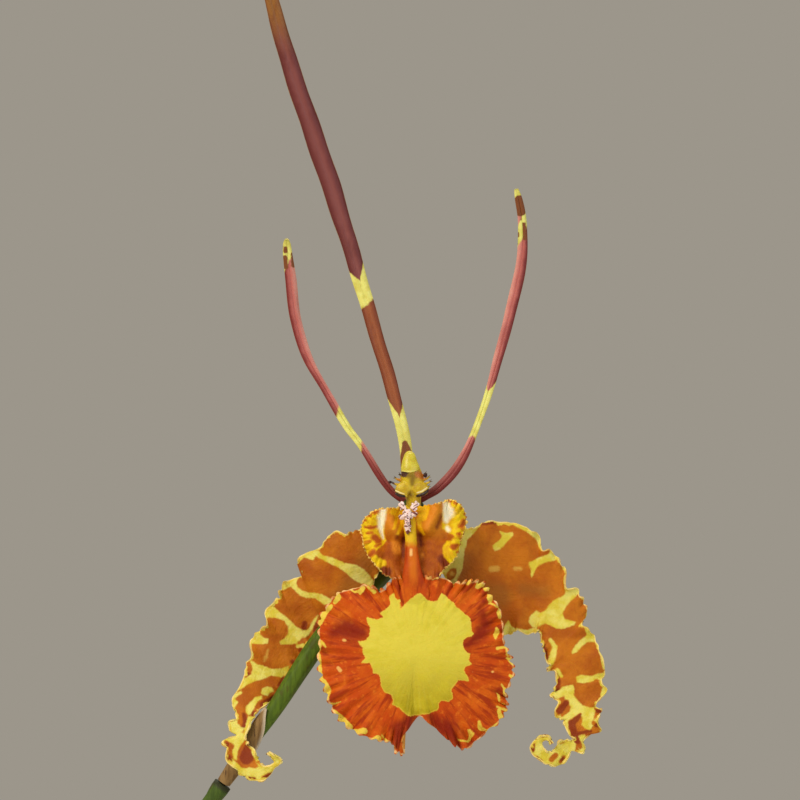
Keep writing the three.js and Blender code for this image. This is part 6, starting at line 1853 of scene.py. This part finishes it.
# Straps; a band holds its top and bottom at the margins, how far each dips in the middle, and a tilt
# inner: the margin that strap_paint gives a painted highlight; the other margin takes painted shade
STRAPS = {
    "petal_left": {
        "stations": PETAL_LEFT,
        "slot": "petal",
        "inner": 1,
        "bands": [(0, 245, 0, 1, 0), (240, 264, 0, -4, -8), (411, 446, 0, 0, -6)],
        "brown": [[(285, 247, 1.4), (285.4, 251, 1.6)], [(285, 256, 1.6), (285.6, 267, 1.8)],
                  [(291.6, 253, 1.6), (292.6, 265, 2)]],
    },
    "petal_right": {
        "stations": PETAL_RIGHT,
        "slot": "petal",
        "inner": -1,
        "bands": [(0, 198, 0, 1, 0), (215, 236, 0, 0, -11), (381, 440, 13, -6, 0)],
        "brown": [[(519.5, 199, 4.5), (521, 211, 4.5)], [(521, 219, 0.8)],
                  [(524, 223, 1.4), (525.5, 238, 1.6)], [(519.5, 232, 0.8), (519.5, 236, 0.8)],
                  [(518.5, 243, 0.8)]],
    },
    "dorsal": {
        "stations": SEPAL_DORSAL,
        "slot": "dorsal_sepal",
        "inner": 0,
        "bands": [(266, 303.5, 15, 1, -5), (401, 470, 17, 0, 3)],
        "brown": [[(405, 443, 2.6), (406, 449, 4), (408, 472, 10)]],
    },
}


def bands_at(height, v, bands):
    """How many pixels a point lies inside one of the bands across a strap."""
    middle = 1 - np.abs(v)
    inside = []
    for top, bottom, dip, rise, tilt in bands:
        top = top + dip * middle + tilt * v
        bottom = bottom + rise * middle + tilt * v
        inside.append(np.minimum(height - top, bottom - height))
    return np.max(inside, axis=0)


def strap_paint(name, tones):
    """Tones: painted shade on the outer margin, body, painted highlight on the inner margin, and foot."""
    paint = Paint(name, roughness=0.5, specular=0.28, glow=0.08)
    shade, body, light, foot = tones
    cloud = paint.noise(3, 3, (1, 1, 0.3))
    # Painted shade along the outer margin and a painted highlight along the inner one, as light falls
    # across the strap
    inner = paint.wobbled(paint.field("inner"), 0.35, 3)
    ground = paint.mix(paint.step(inner, -0.75, -0.1), shade, body)
    ground = paint.over(ground, light, paint.step(inner, 0.1, 0.85), 0.85)
    ground = paint.over(ground, foot, paint.step(paint.field("height"), 445, 478), 0.75)
    ground = paint.over(ground, shade, paint.step(cloud, 0.5, 0.72), 0.3)
    return finish_strap(paint, ground)


def finish_strap(paint, ground):
    marks = paint.mark("yellow", 2.2, 0.8, -1.6, 1.6)
    tone = paint.mottled(2, 3, 0.35, 0.65, "DEDC78", "CDC65C")
    base = paint.mix(marks, ground, tone)
    base = paint.mix(paint.mark("brown", 0.7, 0.5, -0.6, 0.6), base, "7A4420")
    edge = paint.mark("middle", 0.06, 1.6, 0.93, 0.99)
    base = paint.over(base, "C9A468", edge, 0.45)
    paint.colour(paint.mix(paint.times(paint.field("under"), 0.5), base, "A9875A"))
    grain = paint.noise(0.5, 3, (1, 1, 1), 0.5, at=sepal_grain(paint))
    paint.bump(paint.times(grain, 0.06))
    return paint


def dorsal_paint():
    paint = Paint("dorsal_rust", roughness=0.48, specular=0.3, glow=0.08)
    # Painted sheen down the middle of the strap, lighter than its margins
    painted_sheen = paint.mark("middle", 0.25, 3, 0.75, 0.1)
    upper = paint.mix(painted_sheen, "642826", "7E4440")
    upper = paint.mix(paint.mark("height", 14, 5, 62, 0), upper, "8E5C26")
    lower = paint.mix(painted_sheen, "7A3A1C", "93502A")
    ground = paint.mix(paint.step(paint.field("height"), 285, 300), upper, lower)
    ground = paint.over(ground, "5E2420", paint.step(paint.noise(2, 4, (1, 1, 0.3)), 0.5, 0.7), 0.45)
    # Painted shade along both margins
    ground = paint.over(ground, "521C18", paint.step(paint.field("middle"), 0.7, 0.96), 0.6)
    return finish_strap(paint, ground)


def strap_wave(s, share, v, _):
    edge = np.abs(v) ** MARGIN_POWER * np.minimum(1, share / 0.2) * np.minimum(1, (1.02 - share) / 0.08)
    wave = STRAP_WAVE
    phase = TAU * s / wave["length"] + np.where(v > 0, 0, MARGINS_APART)
    keel = wave["keel"] * np.exp(-((v / wave["keel_half"]) ** 2))
    sway = wave["sway"] * edge * np.sign(v) * np.cos(phase * 1.31)
    return wave["height"] * edge * np.sin(phase) - keel, sway


def make_straps():
    # Painted shade, body, painted highlight and foot
    rosy = strap_paint("petal_rose", ("762826", "B4625A", "D8998A", "742624"))
    paints = {"petal": rosy, "dorsal_sepal": dorsal_paint()}
    for name, strap in STRAPS.items():
        stations = [(*row[:4], -1, *row[4:]) for row in strap["stations"]]
        points, s, _, v, w = blade(stations, *STRAP_GRID, strap_wave)
        pixels = to_picture(points)
        height = pixels[..., 1]
        fields = {
            "yellow": bands_at(height, v, strap["bands"]), "brown": strokes(pixels, strap["brown"]),
            "middle": np.abs(v), "inner": v * strap["inner"], "height": height,
            "across": v * w, "along": s * STRAP_RUN,
        }
        shape = sheet(points, TEPAL_THICKNESS * (1 - 0.45 * np.abs(v) ** 5), FORWARD)
        slot = strap["slot"]
        nodes = [name if slot == "petal" else slot]
        add_piece(f"{name}_strap", shape, paints[slot], nodes, FLOWER_AT, both_sides(fields))


make_straps()
